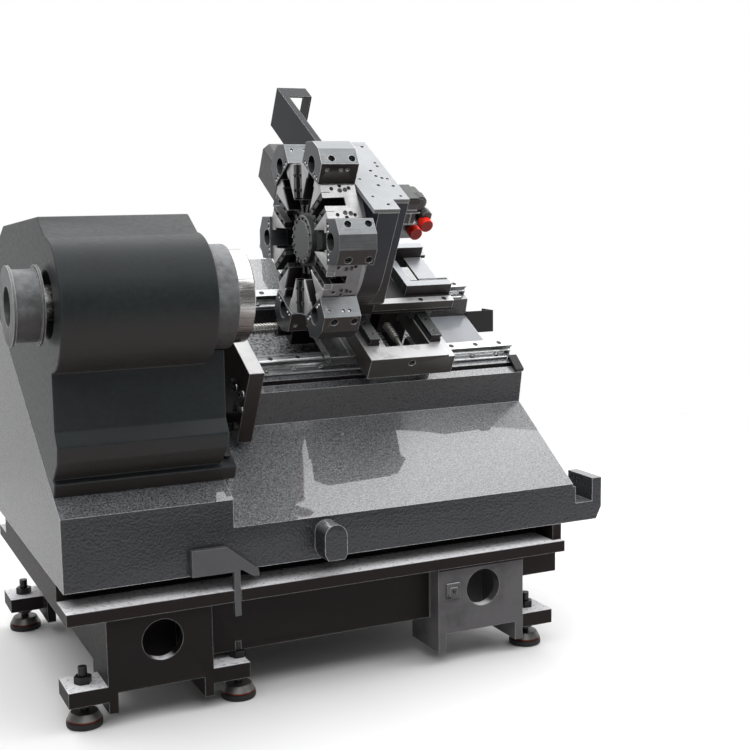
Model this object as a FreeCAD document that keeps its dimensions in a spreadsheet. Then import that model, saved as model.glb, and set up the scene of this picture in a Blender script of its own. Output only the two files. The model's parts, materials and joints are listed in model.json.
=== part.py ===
import FreeCAD, Part
import math
import os
import re

import Sketcher

# Slant bed turning lathe with its covers off. World frame: origin on the floor under the
# front right foot, X along the spindle to the right, Y to the back, Z up.
# The slope frame has the same X, with S up the slope and N square to it; its origin is
# the front edge of the lower guide rail. All lengths are in millimetres.
SIZES = {
    # slope frame
    "slant": 30,
    "slope_y": 290,
    "slope_z": 880,
    # bed casting
    "bed_left": -810,
    "bed_right": 130,
    "neck_left": -945,
    "deck_left": -1401,
    "front_y": -62,
    "bed_bottom": 377,
    "sill": 494,
    "apron_y": 246.4,
    "apron_z": 703.5,
    "bed_rise": 700,
    "deck_fall": 459.6,
    "valley": 92,
    "lip": 92.6,
    "lip_drop": 38,
    "lug_right": 233,
    "lug_depth": 130,
    "lug_top": 505,
    "notch_floor": 434,
    "boss_x": -680,
    "boss_radius": 33,
    "boss_height": 107.5,
    "boss_foot": 9,
    "boss_proud": 70,
    # guide rails of the saddle
    "rail_width": 35,
    "rail_height": 32,
    "rail_gap": 343.6,
    "screw_pitch": "=(bed_right - bed_left - 70) / 10",
    "strip_width": 28,
    "strip_land": -23,
    # end plate
    "plate_thick": 45,
    "plate_fall": 215,
    "plate_rise": 120,
    "plate_top": 133,
    # base casting
    "middle_y": 425,
    "slab_front": -82,
    "slab_top": 329,
    "slab_thick": 33,
    "slab_right": 89,
    "core_half": 435,
    "core_bottom": 135,
    "leg_width": 285,
    "leg_depth": 170,
    "leg_bottom": 40,
    "arch_top": 95,
    "toe": 26,
    "leg_wall": 30,
    "right_leg": "=foot_right - 46 - leg_width",
    "left_leg": -1298,
    "leg_hole": 55,
    "leg_hole_z": 219,
    "flange_top": 115,
    "flange_thick": 42,
    "flange_depth": 122,
    "flange_reach": 103,
    "bracket_x": -937,
    # feet
    "foot_right": 0,
    "foot_middle": "=left_leg + leg_width + 88",
    "foot_left": "=left_leg - 52",
    "pad_radius": 48,
    "rubber_height": 18,
    "pad_height": 22,
    "foot_screw": 12,
    "screw_rise": 45,
    # spindle and headstock
    "axis_s": -160,
    "axis_n": 355,
    "head_right": -953,
    "barrel_right": -1009,
    "head_rise": 560,
    "waist_drop": 167,
    "belly_drop": 126,
    "chest_drop": 89,
    "front_step": 12,
    "brow_rise": 120,
    "crown_drop": 20,
    "back_length": 120,
    "back_n": 220,
    "tail_n": 60,
    "tunnel_length": 336,
    "tunnel_half": 85,
    "tunnel_height": 165,
    "bearing_width": 90,
    "spindle_tail": 30,
    "disc_edge": 3,
    "disc_recess": 6,
    "pulley_gap": 20,
    "pulley_width": 75,
    "pulley_radius": 100,
    "pulley_groove": 10,
    "pulley_rim": 7,
    "z_motor_length": 150,
    "z_motor_half": 65,
    "z_motor_gap": 95,
    "barrel": 170,
    "flange_s": 380,
    "flange_n": 45,
    "head_flange_right": -915,
    "ring_right": "=barrel_right + 64.5",
    "ring_radius": 137,
    "disc_left": "=ring_right + 1.5",
    "disc_right": "=disc_left + 46",
    "disc_radius": 123,
    "spindle_radius": 50,
    "bearing_radius": 85,
    "spindle_bore": 31,
    # saddle drive
    "z_screw_s": 197,
    "z_screw_n": -20,
    "z_screw_radius": 17,
    "z_screw_right": -190,
    "nut_left": -570,
    # saddle
    "saddle_left": "=x_rail_left - 35",
    "saddle_right": "=x_rail_right + 40",
    "saddle_fall": 127,
    "saddle_bottom": 22,
    "saddle_top": 80,
    "window_left": "=x_rail_left + 37",
    "window_right": "=x_rail_right - 22",
    "window_fall": 67,
    "window_rise": "=bed_rise - 50",
    "trough_left": "=saddle_left - 86",
    "trough_fall": 37,
    "trough_rise": "=bed_rise - 73",
    "trough_top": "=saddle_bottom + 8",
    "trough_wall": 4,
    # guide rails of the slide
    "x_rail_height": 26,
    "x_rail_left": -405,
    "x_rail_right": -199,
    "x_rail_fall": 60,
    "x_rail_rise": "=bed_rise - 10",
    # slide drive
    "x_screw_x": "=(x_rail_left + x_rail_right) / 2",
    "x_screw_n": "=saddle_top - 22",
    "x_screw_radius": 12.5,
    # slide and turret housing
    "slide_left": "=x_rail_left - 59",
    "slide_right": "=x_rail_right + 102",
    "slide_waist": -255,
    "slide_front": 55,
    "slide_step": 175,
    "slide_rise": 330,
    "pad_left": -243,
    "pad_front": 97,
    "pad_rear": 131,
    "pad_top": "=slide_top + 35",
    "slide_bottom": "=saddle_top + x_rail_height + 8",
    "slide_top": "=slide_bottom + 36",
    "hub_s": 106,
    "hub_n": "=axis_n",
    "housing_left": -510,
    "housing_right": "=housing_left + 114",
    "housing_rise": "=hub_s + barrel_radius - 8",
    "housing_top": "=hub_n + barrel_radius + 3",
    "barrel_radius": "=hub_n - slide_top - 7",
    "cover_thick": 12,
    "notch": 52,
    # turret disc
    "face_left": "=block_left + 7",
    "block_left": "=block_right - 112",
    "block_right": "=housing_left - 20",
    "flat_radius": 215,
    "slot_width": 25,
    "hub_radius": 70,
    "shaft_radius": 50,
    "shaft_length": 60,
    "bore_radius": 25,
    "bore_circle": "=flat_radius + 27",
    "block_half": 63,
    "block_shoulder": "=bore_circle + 36",
    "block_crown": "=block_shoulder + 25",
    # play between pieces that turn or slide on each other
    "play": 0.5,
}

doc = FreeCAD.newDocument("SlantBedLathe")
sheet = doc.addObject("Spreadsheet::Sheet", "Sizes")
for row, (name, value) in enumerate(SIZES.items(), start=1):
    sheet.set("A%d" % row, name)
    sheet.set("B%d" % row, str(value))
    sheet.setAlias("B%d" % row, name)
doc.recompute()

PLANES = {"side": "YZ_Plane", "front": "XZ_Plane", "top": "XY_Plane"}
TURNS = {
    "x": FreeCAD.Rotation(FreeCAD.Vector(0, 1, 0), 90),
    "y": FreeCAD.Rotation(FreeCAD.Vector(1, 0, 0), -90),
    "z": FreeCAD.Rotation(),
}
pieces = []


def formula(text):
    """Write a formula with each size looked up in the sheet."""
    def named(word):
        return "Sizes." + word[0] if word[0] in SIZES else word[0]
    return re.sub(r"[a-z][a-z_0-9]*", named, str(text))


def bind(item, **values):
    """Tie properties of an item to formulas."""
    for name, text in values.items():
        item.setExpression(name.replace("__", "."), formula(text))


def place(item, x, y, z):
    """Tie the position of an item to three formulas."""
    bind(item, Placement__Base__x=x, Placement__Base__y=y, Placement__Base__z=z)


def up(s, n):
    """World Y and Z of a point given up the slope and square to it."""
    y = "slope_y + (%s) * cos(slant) - (%s) * sin(slant)" % (s, n)
    z = "slope_z + (%s) * sin(slant) + (%s) * cos(slant)" % (s, n)
    return (y, z)


def lean(item, s=0, n=0, x=0):
    """Stand an item drawn in the slope frame on the slope."""
    item.Placement = FreeCAD.Placement(FreeCAD.Vector(), FreeCAD.Rotation(FreeCAD.Vector(1, 0, 0), 1))
    place(item, x, *up(s, n))
    bind(item, Placement__Rotation__Angle="slant")
    return item


def keep(item, label):
    """Name a finished piece and put it on the list of pieces."""
    item.Label = label
    pieces.append(item)
    return item


def draw(body, plane, start, outline, circles=()):
    """Sketch a closed outline and circles, each point tied to formulas."""
    sketch = body.newObject("Sketcher::SketchObject", "Profile")
    base = [item for item in body.Origin.OriginFeatures if item.Role == PLANES[plane]][0]
    sketch.AttachmentSupport = [(base, "")]
    sketch.MapMode = "FlatFace"
    sign = "-" if plane == "front" else ""
    bind(sketch, AttachmentOffset__Base__z="%s(%s)" % (sign, start))
    count = len(outline)
    angles = [2 * math.pi * step / max(count, 1) for step in range(count)]
    corners = [FreeCAD.Vector(math.cos(angle), math.sin(angle), 0) for angle in angles]
    for index in range(count):
        line = Part.LineSegment(corners[index], corners[(index + 1) % count])
        sketch.addGeometry(line, False)
    for index in range(count):
        sketch.addConstraint(Sketcher.Constraint("Coincident", index, 2, (index + 1) % count, 1))
    for index, point in enumerate(outline):
        tie_point(sketch, index, 1, point)
    for across, along, radius in circles:
        circle = Part.Circle(FreeCAD.Vector(1, 1, 0), FreeCAD.Vector(0, 0, 1), 1)
        index = sketch.addGeometry(circle, False)
        tie_point(sketch, index, 3, (across, along))
        size = sketch.addConstraint(Sketcher.Constraint("Radius", index, 1.0))
        sketch.setExpression("Constraints[%d]" % size, formula(radius))
    return sketch


def tie_point(sketch, index, corner, point):
    """Tie one sketch point to a pair of formulas."""
    for kind, text in zip(("DistanceX", "DistanceY"), point):
        size = sketch.addConstraint(Sketcher.Constraint(kind, -1, 1, index, corner, 1.0))
        sketch.setExpression("Constraints[%d]" % size, formula(text))


def prism(plane, start, length, outline, circles=()):
    """Body padded from an outline, from a start value along the plane's axis."""
    body = doc.addObject("PartDesign::Body", "Body")
    sketch = draw(body, plane, start, outline, circles)
    pad = body.newObject("PartDesign::Pad", "Pad")
    pad.Profile = sketch
    pad.Reversed = plane == "front"
    bind(pad, Length=length)
    sketch.Visibility = False
    return body


def pocket(body, plane, start, length, outline, circles=()):
    """Cut an outline out of a body, from a start value along the plane's axis."""
    sketch = draw(body, plane, start, outline, circles)
    cut = body.newObject("PartDesign::Pocket", "Pocket")
    cut.Profile = sketch
    cut.Reversed = plane != "front"
    bind(cut, Length=length)
    sketch.Visibility = False
    return body


def turned(plane, outline):
    """Body turned about the first axis of a plane."""
    body = doc.addObject("PartDesign::Body", "Body")
    sketch = draw(body, plane, 0, outline)
    turn = body.newObject("PartDesign::Revolution", "Revolution")
    turn.Profile = sketch
    turn.ReferenceAxis = (sketch, ["H_Axis"])
    sketch.Visibility = False
    return body


def box(x, y, z, length, width, height):
    """Block from its lower left front corner."""
    item = doc.addObject("Part::Box", "Block")
    bind(item, Length=length, Width=width, Height=height)
    place(item, x, y, z)
    return item


def rod(axis, x, y, z, radius, length):
    """Cylinder from the middle of its first end along an axis."""
    item = doc.addObject("Part::Cylinder", "Rod")
    item.Placement = FreeCAD.Placement(FreeCAD.Vector(), TURNS[axis])
    bind(item, Radius=radius, Height=length)
    place(item, x, y, z)
    return item


def cone(x, y, z, low_radius, high_radius, height):
    """Upright cone from the middle of its lower end."""
    item = doc.addObject("Part::Cone", "Cone")
    bind(item, Radius1=low_radius, Radius2=high_radius, Height=height)
    place(item, x, y, z)
    return item


def stud(axis, sides, x, y, z, radius, length):
    """Bar with flat sides from the middle of its first end along an axis."""
    item = doc.addObject("Part::Prism", "Stud")
    item.Polygon = sides
    item.Placement = FreeCAD.Placement(FreeCAD.Vector(), TURNS[axis])
    bind(item, Circumradius=radius, Height=length)
    place(item, x, y, z)
    return item


def around(item, turn, x, out, aside):
    """Set an item out at an angle about the X axis, out along it and aside of it."""
    item.Placement = FreeCAD.Placement(FreeCAD.Vector(), FreeCAD.Rotation(FreeCAD.Vector(1, 0, 0), turn))
    y = "(%s) * cos(%d) - (%s) * sin(%d)" % (out, turn, aside, turn)
    z = "(%s) * sin(%d) + (%s) * cos(%d)" % (out, turn, aside, turn)
    place(item, x, y, z)
    return item


def several(kind, items):
    """Fuse or group a list of items."""
    item = doc.addObject("Part::" + kind, kind)
    if kind == "MultiFuse":
        item.Shapes = items
    else:
        item.Links = items
    return item


def fuse(*items):
    """One solid out of several."""
    return several("MultiFuse", list(items))


def group(items):
    """Several separate solids as one item."""
    return several("Compound", list(items))


def cut(base, *tools):
    """A solid with others taken out of it."""
    item = doc.addObject("Part::Cut", "Cut")
    item.Base = base
    item.Tool = tools[0] if len(tools) == 1 else group(tools)
    return item


def oblong(left, right, low, high):
    """Four corners of a rectangle."""
    return [(left, low), (right, low), (right, high), (left, high)]


# bed casting
crest = [
    up("-lip", "-lip_drop"),
    up("-62", "-lip_drop"),
    up("-62", "-50"),
    up("-48", "-50"),
    up("-48", "-rail_height"),
    up("60", "-rail_height"),
    up("60", "-valley"),
    up("rail_gap - 43", "-valley"),
    up("rail_gap - 29", "-rail_height"),
    up("rail_gap + rail_width + 30", "-rail_height"),
    up("rail_gap + rail_width + 30", "-valley"),
]
rear = up("bed_rise", "-valley")
back = [rear, (rear[0], "bed_bottom"), ("front_y", "bed_bottom")]
apron = [("front_y", "sill"), ("apron_y", "apron_z")]
main = prism("side", "bed_left", "bed_right - bed_left", crest + back + apron)
neck_top = ("apron_y", "slope_z + (apron_y - slope_y - valley * sin(slant)) * tan(slant) - valley * cos(slant)")
neck = prism("side", "neck_left", "bed_left - neck_left", back + apron + [neck_top])
deck_front = ("front_y", up("-deck_fall", "-valley")[1])
deck = prism("side", "deck_left", "neck_left - deck_left", back + [deck_front])
lug = prism("front", "front_y", "lug_depth", [
    ("bed_right - 1", "bed_bottom"),
    ("lug_right - 18", "bed_bottom"),
    ("lug_right", "bed_bottom + 37"),
    ("lug_right", "lug_top"),
    ("lug_right - 33", "lug_top"),
    ("lug_right - 33", "notch_floor"),
    ("bed_right + 10", "notch_floor"),
    ("bed_right + 10", "lug_top - 20"),
    ("bed_right - 1", "lug_top - 20"),
])
boss_foot = prism("front", "front_y - boss_proud", "boss_proud + 1", [
    ("boss_x - boss_radius + 10", "bed_bottom + boss_foot"),
    ("boss_x + boss_radius - 8", "bed_bottom + boss_foot"),
    ("boss_x + boss_radius", "bed_bottom + boss_foot + 14"),
    ("boss_x + boss_radius", "bed_bottom + boss_height - boss_radius"),
    ("boss_x - boss_radius", "bed_bottom + boss_height - boss_radius"),
    ("boss_x - boss_radius", "bed_bottom + boss_foot + 18"),
])
boss_head = rod("y", "boss_x", "front_y - boss_proud", "bed_bottom + boss_height - boss_radius",
                "boss_radius", "boss_proud + 1")
keep(fuse(main, neck, deck, lug, boss_foot, boss_head), "bed_casting")

# guide rails of the saddle with their clamp strips
for name, start in (("lower", "0"), ("upper", "rail_gap")):
    edge = start + " + rail_width"
    rail = prism("side", "bed_left", "bed_right - bed_left", [
        (start, "-rail_height"),
        (start, "-20"),
        (start + " + 5", "-17"),
        (start + " + 5", "-9"),
        (start, "-6"),
        (start, "0"),
        (edge, "0"),
        (edge, "-6"),
        (edge + " - 5", "-9"),
        (edge + " - 5", "-17"),
        (edge, "-20"),
        (edge, "-rail_height"),
    ])
    keep(lean(rail), name + "_rail")
    strip = prism("side", "bed_left", "bed_right - bed_left - 25", [
        (start + " - strip_width", "-rail_height"),
        (start + " - strip_width", "-26"),
        (start + " - strip_width + 3", "strip_land"),
        (start + " - 5", "strip_land"),
        (start + " - 3", "-20"),
        (start, "-20"),
        (start, "-rail_height"),
    ])
    keep(lean(strip), name + "_strip")
screws = []
for start in ("0", "rail_gap"):
    for step in range(11):
        along = "bed_right - 60 - %d * screw_pitch" % step
        screws.append(stud("z", 8, along, start + " - strip_width / 2", "strip_land", "9", "6"))
keep(lean(group(screws)), "strip_screws")
end_block = prism("side", "bed_right - 24", "30", [
    ("-48", "-rail_height"),
    ("-48", "-50"),
    ("-62", "-50"),
    ("-62", "-lip_drop"),
    ("-lip + 2", "-lip_drop"),
    ("-lip + 2", "-28"),
    ("-strip_width - 1", "-16"),
    ("-strip_width - 1", "-rail_height"),
])
keep(lean(end_block), "way_end_block")

# end plate that stands on the neck of the bed
plate = prism("side", "bed_left - plate_thick", "plate_thick", [
    ("-plate_fall", "-valley - 21"),
    ("-118", "-valley - 21"),
    ("-118", "-valley"),
    ("plate_rise", "-valley"),
    ("plate_rise", "plate_top"),
    ("-plate_fall", "plate_top"),
])
keep(lean(plate), "bed_end_plate")
# base casting
slab = box("deck_left", "slab_front", "slab_top - slab_thick", "slab_right - deck_left",
           "2 * (middle_y - slab_front)", "slab_thick")
riser = box("deck_left", "middle_y - core_half + 50", "slab_top", "slab_right - 30 - deck_left",
            "2 * core_half - 100", "bed_bottom - slab_top")
cheek = box("slab_right - 30", "front_y", "slab_top", "30", "2 * (middle_y - front_y)",
            "bed_bottom - slab_top")
core = box("left_leg", "middle_y - core_half", "core_bottom", "right_leg + leg_width - left_leg",
           "2 * core_half", "slab_top - slab_thick - core_bottom")
step = box("right_leg + leg_width", "middle_y - core_half - 20", "slab_top - slab_thick - 74", "136",
           "2 * core_half + 40", "74")
legs = []
rooms = []
for start in ("front_y", "2 * middle_y - front_y - leg_depth"):
    for left in ("right_leg", "left_leg"):
        legs.append(box(left, start, "leg_bottom", "leg_width", "leg_depth",
                        "slab_top - slab_thick - leg_bottom"))
        rooms.append(box(left + " + 2 * leg_wall", start + " + leg_wall", "leg_bottom",
                         "leg_width - 4 * leg_wall", "leg_depth - 2 * leg_wall",
                         "slab_top - slab_thick - leg_wall - leg_bottom"))
        rooms.append(box(left + " + toe", start, "leg_bottom", "leg_width - 2 * toe", "leg_depth",
                         "arch_top - leg_bottom"))
for start in ("front_y", "2 * middle_y - front_y - flange_depth"):
    for left in ("right_leg + leg_width", "left_leg + leg_width", "left_leg - flange_reach"):
        legs.append(box(left, start, "flange_top - flange_thick", "flange_reach", "flange_depth",
                        "flange_thick"))
holes = []
for left in ("right_leg", "left_leg"):
    holes.append(rod("y", left + " + leg_width / 2 + 6", "front_y - 1", "leg_hole_z", "leg_hole", "leg_wall + 2"))
feet = []
for back in ("0", "2 * middle_y"):
    for along in ("foot_right", "foot_middle", "foot_left"):
        feet.append((along, back))
for along, back in feet:
    holes.append(stud("z", 12, along, back, "flange_top - flange_thick - 1", "foot_screw + play",
                      "flange_thick + screw_rise + 2"))
holes.append(box("bracket_x - 18 - play", "slab_front - 1", "slab_top - slab_thick - 1", "18 + 2 * play",
                 "front_y - slab_front + 1 + play", "slab_thick + 2"))
whole = fuse(slab, riser, cheek, core, step, *legs)
keep(cut(whole, *rooms, *holes), "base_casting")

# levelling feet
rubbers = []
pads = []
stems = []
nuts = []
for along, back in feet:
    rubbers.append(rod("z", along, back, 0, "pad_radius", "rubber_height"))
    pads.append(cone(along, back, "rubber_height", "pad_radius", "pad_radius - 12", "pad_height"))
    stems.append(stud("z", 12, along, back, "rubber_height + pad_height", "foot_screw",
                      "flange_top + screw_rise - rubber_height - pad_height"))
    for low in ("flange_top", "flange_top - flange_thick - 20"):
        hole = stud("z", 12, along, back, low + " - 1", "foot_screw + play", "22")
        nuts.append(cut(stud("z", 6, along, back, low, "24", "20"), hole))
keep(group(rubbers), "foot_rubbers")
keep(group(pads), "foot_pads")
keep(group(stems), "levelling_screws")
keep(group(nuts), "levelling_nuts")

# bracket plate low on the front left
bracket = prism("front", "slab_front", "front_y - slab_front", [
    ("bracket_x - 133", "bed_bottom + 73"),
    ("bracket_x - 36", "bed_bottom + 73"),
    ("bracket_x + 52", "bed_bottom + 1"),
    ("bracket_x + 54", "bed_bottom - 18"),
    ("bracket_x + 35", "bed_bottom - 16"),
    ("bracket_x + 4", "bed_bottom + 4.5"),
    ("bracket_x", "bed_bottom + 4.5"),
    ("bracket_x", "bed_bottom - 121"),
    ("bracket_x - 18", "bed_bottom - 121"),
    ("bracket_x - 18", "bed_bottom + 1"),
    ("bracket_x - 133", "bed_bottom + 1"),
])
keep(bracket, "front_left_bracket")

# tray at the rear right end of the bed
tray = prism("front", "slope_y + 300", "70", [
    ("bed_right", 890),
    ("bed_right + 107", 890),
    ("bed_right + 107", 965),
    ("bed_right + 101", 965),
    ("bed_right + 101", 896),
    ("bed_right + 6", 896),
    ("bed_right + 6", 965),
    ("bed_right", 965),
])
keep(tray, "rear_tray")

# headstock
body = prism("side", "deck_left", "barrel_right - deck_left", [
    up("-flange_s + 20", "flange_n - valley - 1"),
    ("front_y", "slope_z - waist_drop"),
    ("front_y - front_step", "slope_z - belly_drop"),
    ("front_y + front_step", "slope_z - chest_drop"),
    ("front_y + front_step", "slope_z + brow_rise"),
    up("axis_s", "axis_n + barrel - crown_drop"),
    up("axis_s + barrel", "axis_n + barrel - crown_drop"),
    up("head_rise - back_length", "back_n"),
    up("head_rise", "tail_n"),
    up("head_rise", "flange_n - valley - 1"),
])
column = prism("side", "barrel_right - 1", "head_right - barrel_right + 1", [
    up("-flange_s + 20", "flange_n - valley - 1"),
    ("front_y", "slope_z - waist_drop"),
    ("front_y - front_step", "slope_z - belly_drop"),
    ("front_y + front_step", "slope_z - chest_drop"),
    ("front_y + front_step", up("axis_s", "axis_n")[1]),
    up("axis_s + barrel", "axis_n"),
    up("axis_s + barrel", "flange_n - valley - 1"),
])
barrel = rod("x", "deck_left", *up("axis_s", "axis_n"), "barrel", "barrel_right - deck_left")
seat = rod("x", "barrel_right", *up("axis_s", "axis_n"), "ring_radius + play", "head_right - barrel_right + 1")
foot = prism("side", "deck_left", "head_flange_right - deck_left",
             oblong("-flange_s", "head_rise + 30", "-valley", "flange_n - valley"))
bore = rod("x", "deck_left - 1", *up("axis_s", "axis_n"), "bearing_radius", "head_right - deck_left + 2")
tunnel = box("head_flange_right - tunnel_length", "z_screw_s - tunnel_half", "-valley - 1",
             "tunnel_length + 1", "2 * tunnel_half", "tunnel_height")
keep(cut(fuse(body, column, barrel, lean(foot)), seat, bore, lean(group([tunnel]))), "headstock_casting")
cap_screws = []
for s in (-336, 60, 330, 560):
    cap_screws.append(stud("z", 12, "head_flange_right - 19", s, "flange_n - valley", "11", "10"))
for s, n in ((-200, -60), (-165, -92), (-200, 10), (-165, -22), (-130, 40)):
    cap_screws.append(stud("x", 12, "bed_left - plate_thick - 12", s, n, "11", "12"))
keep(lean(group(cap_screws)), "cap_screws")

# nose ring and bearings of the headstock, motor of the long screw
ring = cut(rod("x", "barrel_right", 0, 0, "ring_radius", "ring_right - barrel_right"),
           rod("x", "barrel_right - 1", 0, 0, "spindle_radius + 2", "ring_right - barrel_right + 2"),
           rod("x", "ring_right - 14", 0, 0, "disc_radius - 30", "20"))
keep(lean(ring, "axis_s", "axis_n"), "nose_ring")
bearings = []
for left in ("barrel_right - 100", "deck_left + 40"):
    bearings.append(cut(rod("x", left, 0, 0, "bearing_radius", "bearing_width"),
                        rod("x", left + " - 1", 0, 0, "spindle_radius + play", "bearing_width + 2")))
keep(lean(group(bearings), "axis_s", "axis_n"), "spindle_bearings")
motor = fuse(box("head_flange_right - z_motor_gap - z_motor_length", "-z_motor_half", "-z_motor_half",
                 "z_motor_length", "2 * z_motor_half", "2 * z_motor_half"),
             rod("x", "head_flange_right - z_motor_gap - 1", 0, 0, "48", "12"),
             box("head_flange_right - 215", "-35", "64", "60", "70", "22"),
             box("head_flange_right - 235", "-50", "-valley - z_screw_n", "130", "100", "valley + z_screw_n - 64"))
keep(lean(motor, "z_screw_s", "z_screw_n"), "z_motor")
bearing = cut(box("bed_left - 120", "-55", "-valley - z_screw_n", "60", "110", "valley + z_screw_n + 48"),
              rod("x", "bed_left - 121", 0, 0, "z_screw_radius - 5 + play", "62"))
keep(lean(bearing, "z_screw_s", "z_screw_n"), "z_screw_bearing")
support = cut(box("z_screw_right - 30", "-45", "-valley - z_screw_n", "40", "90", "valley + z_screw_n + 28"),
              rod("x", "z_screw_right - 31", 0, 0, "z_screw_radius - 5 + play", "42"))
keep(lean(support, "z_screw_s", "z_screw_n"), "z_screw_support")

# spindle
spindle = turned("top", [
    ("deck_left - spindle_tail", "spindle_bore"),
    ("deck_left - spindle_tail", "spindle_radius"),
    ("disc_left", "spindle_radius"),
    ("disc_left", "disc_radius - disc_edge"),
    ("disc_left + disc_edge", "disc_radius"),
    ("disc_right - disc_edge", "disc_radius"),
    ("disc_right", "disc_radius - disc_edge"),
    ("disc_right", "spindle_radius + 20"),
    ("disc_right - disc_recess", "spindle_radius + 20"),
    ("disc_right - disc_recess", "spindle_bore"),
])
keep(lean(spindle, "axis_s", "axis_n"), "spindle")
pulley = turned("top", [
    ("deck_left - pulley_gap - pulley_width", "spindle_radius"),
    ("deck_left - pulley_gap - pulley_width", "pulley_radius"),
    ("deck_left - pulley_gap - pulley_width + pulley_rim", "pulley_radius"),
    ("deck_left - pulley_gap - pulley_width + pulley_rim", "pulley_radius - pulley_groove"),
    ("deck_left - pulley_gap - pulley_rim", "pulley_radius - pulley_groove"),
    ("deck_left - pulley_gap - pulley_rim", "pulley_radius"),
    ("deck_left - pulley_gap", "pulley_radius"),
    ("deck_left - pulley_gap", "spindle_radius"),
])
keep(lean(pulley, "axis_s", "axis_n"), "spindle_pulley")

# long ball screw and coupling
z_screw = turned("top", [
    ("bed_left - 150", "0"),
    ("bed_left - 150", "z_screw_radius - 5"),
    ("bed_left - 52", "z_screw_radius - 5"),
    ("bed_left - 52", "z_screw_radius"),
    ("z_screw_right - 34", "z_screw_radius"),
    ("z_screw_right - 34", "z_screw_radius - 5"),
    ("z_screw_right + 6", "z_screw_radius - 5"),
    ("z_screw_right + 6", "0"),
])
keep(lean(z_screw, "z_screw_s", "z_screw_n"), "z_ball_screw")
coupling = rod("x", "bed_left - 188", 0, 0, "26", "54")
coupling = cut(coupling, rod("x", "bed_left - 150", 0, 0, "z_screw_radius - 5", "20"))
keep(lean(coupling, "z_screw_s", "z_screw_n"), "z_coupling")

# saddle
saddle = prism("side", "saddle_left", "saddle_right - saddle_left", [
    ("-saddle_fall", "12"),
    ("-30", "12"),
    ("-30", "saddle_bottom"),
    ("bed_rise", "saddle_bottom"),
    ("bed_rise", "saddle_top"),
    ("-saddle_fall", "saddle_top"),
])
pocket(saddle, "top", "0", "saddle_top + 1",
       oblong("window_left", "window_right", "-window_fall", "window_rise"))
pocket(saddle, "top", "saddle_top - 6", "7",
       oblong("saddle_right - 22", "saddle_right + 1", "-saddle_fall - 1", "bed_rise + 1"))
pocket(saddle, "front", "-saddle_fall - 1", "saddle_fall - window_fall + 2", [],
       [("x_screw_x", "x_screw_n", "x_screw_radius - 3 + play")])
pocket(saddle, "front", "window_rise - 1", "bed_rise - window_rise + 2", [],
       [("x_screw_x", "x_screw_n", "x_screw_radius - 3 + play")])
keep(lean(saddle), "saddle")
blocks = []
for left in ("saddle_left + 4", "saddle_right - 74"):
    for start in ("0", "rail_gap"):
        block = box(left, start + " - 18", "-12", "70", "71", "saddle_bottom + 12")
        slot = box(left + " - 1", start + " - play", "-13", "72", "rail_width + 2 * play", "13 + play")
        blocks.append(cut(block, slot))
keep(lean(group(blocks)), "z_carriage_blocks")
trough = prism("side", "trough_left", "saddle_left - trough_left", [
    ("-trough_fall", "3"),
    ("trough_rise", "3"),
    ("trough_rise", "trough_top"),
    ("-trough_fall", "trough_top"),
])
pocket(trough, "top", "3 + trough_wall", "trough_top + 10",
       oblong("trough_left + trough_wall", "saddle_left - trough_wall",
              "-trough_fall + trough_wall", "trough_rise - trough_wall"))
keep(lean(trough), "saddle_trough")
lug_plate = box("saddle_right", "bed_rise - 250", "saddle_top - 33", "149", "25", "33")
keep(lean(group([lug_plate])), "saddle_rear_lug")
for label, middle in (("x_rail_left", "x_rail_left"), ("x_rail_right", "x_rail_right")):
    low = "saddle_top"
    left = middle + " - rail_width / 2"
    right = middle + " + rail_width / 2"
    rail = prism("front", "-x_rail_fall", "x_rail_rise + x_rail_fall", [
        (left, low),
        (left, low + " + 10"),
        (left + " + 4", low + " + 13"),
        (left + " + 4", low + " + 17"),
        (left, low + " + 20"),
        (left, low + " + x_rail_height"),
        (right, low + " + x_rail_height"),
        (right, low + " + 20"),
        (right + " - 4", low + " + 17"),
        (right + " - 4", low + " + 13"),
        (right, low + " + 10"),
        (right, low),
    ])
    keep(lean(rail), label)
nut_block = fuse(box("nut_left", "-40", "-38", "saddle_left + 80 - nut_left", "80", "3 - z_screw_n + 38"),
                 box("saddle_left + 2", "-40", "-38", "78", "80", "saddle_bottom - z_screw_n + 38"),
                 rod("x", "nut_left - 40", 0, 0, "26", "50"))
nut_block = cut(nut_block, rod("x", "nut_left - 41", 0, 0, "z_screw_radius + play", "260"))
keep(lean(nut_block, "z_screw_s", "z_screw_n"), "z_ball_nut")
mount = cut(box("x_screw_x - 68", "bed_rise", "x_screw_n - 76", "136", "230", "153"),
            box("x_screw_x - 54", "bed_rise + 40", "x_screw_n - 62", "108", "160", "140"),
            rod("y", "x_screw_x", "bed_rise - 1", "x_screw_n", "x_screw_radius - 3 + play", "60"),
            rod("y", "x_screw_x", "bed_rise + 190", "x_screw_n", "30", "60"))
keep(lean(mount), "x_motor_mount")
motor = prism("front", "bed_rise + 230", "180", [
    ("x_screw_x - 68", "2"),
    ("x_screw_x - 48", "-18"),
    ("x_screw_x + 48", "-18"),
    ("x_screw_x + 68", "2"),
    ("x_screw_x + 68", "115"),
    ("x_screw_x + 48", "135"),
    ("x_screw_x - 48", "135"),
    ("x_screw_x - 68", "115"),
])
keep(lean(motor), "x_motor")

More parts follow.
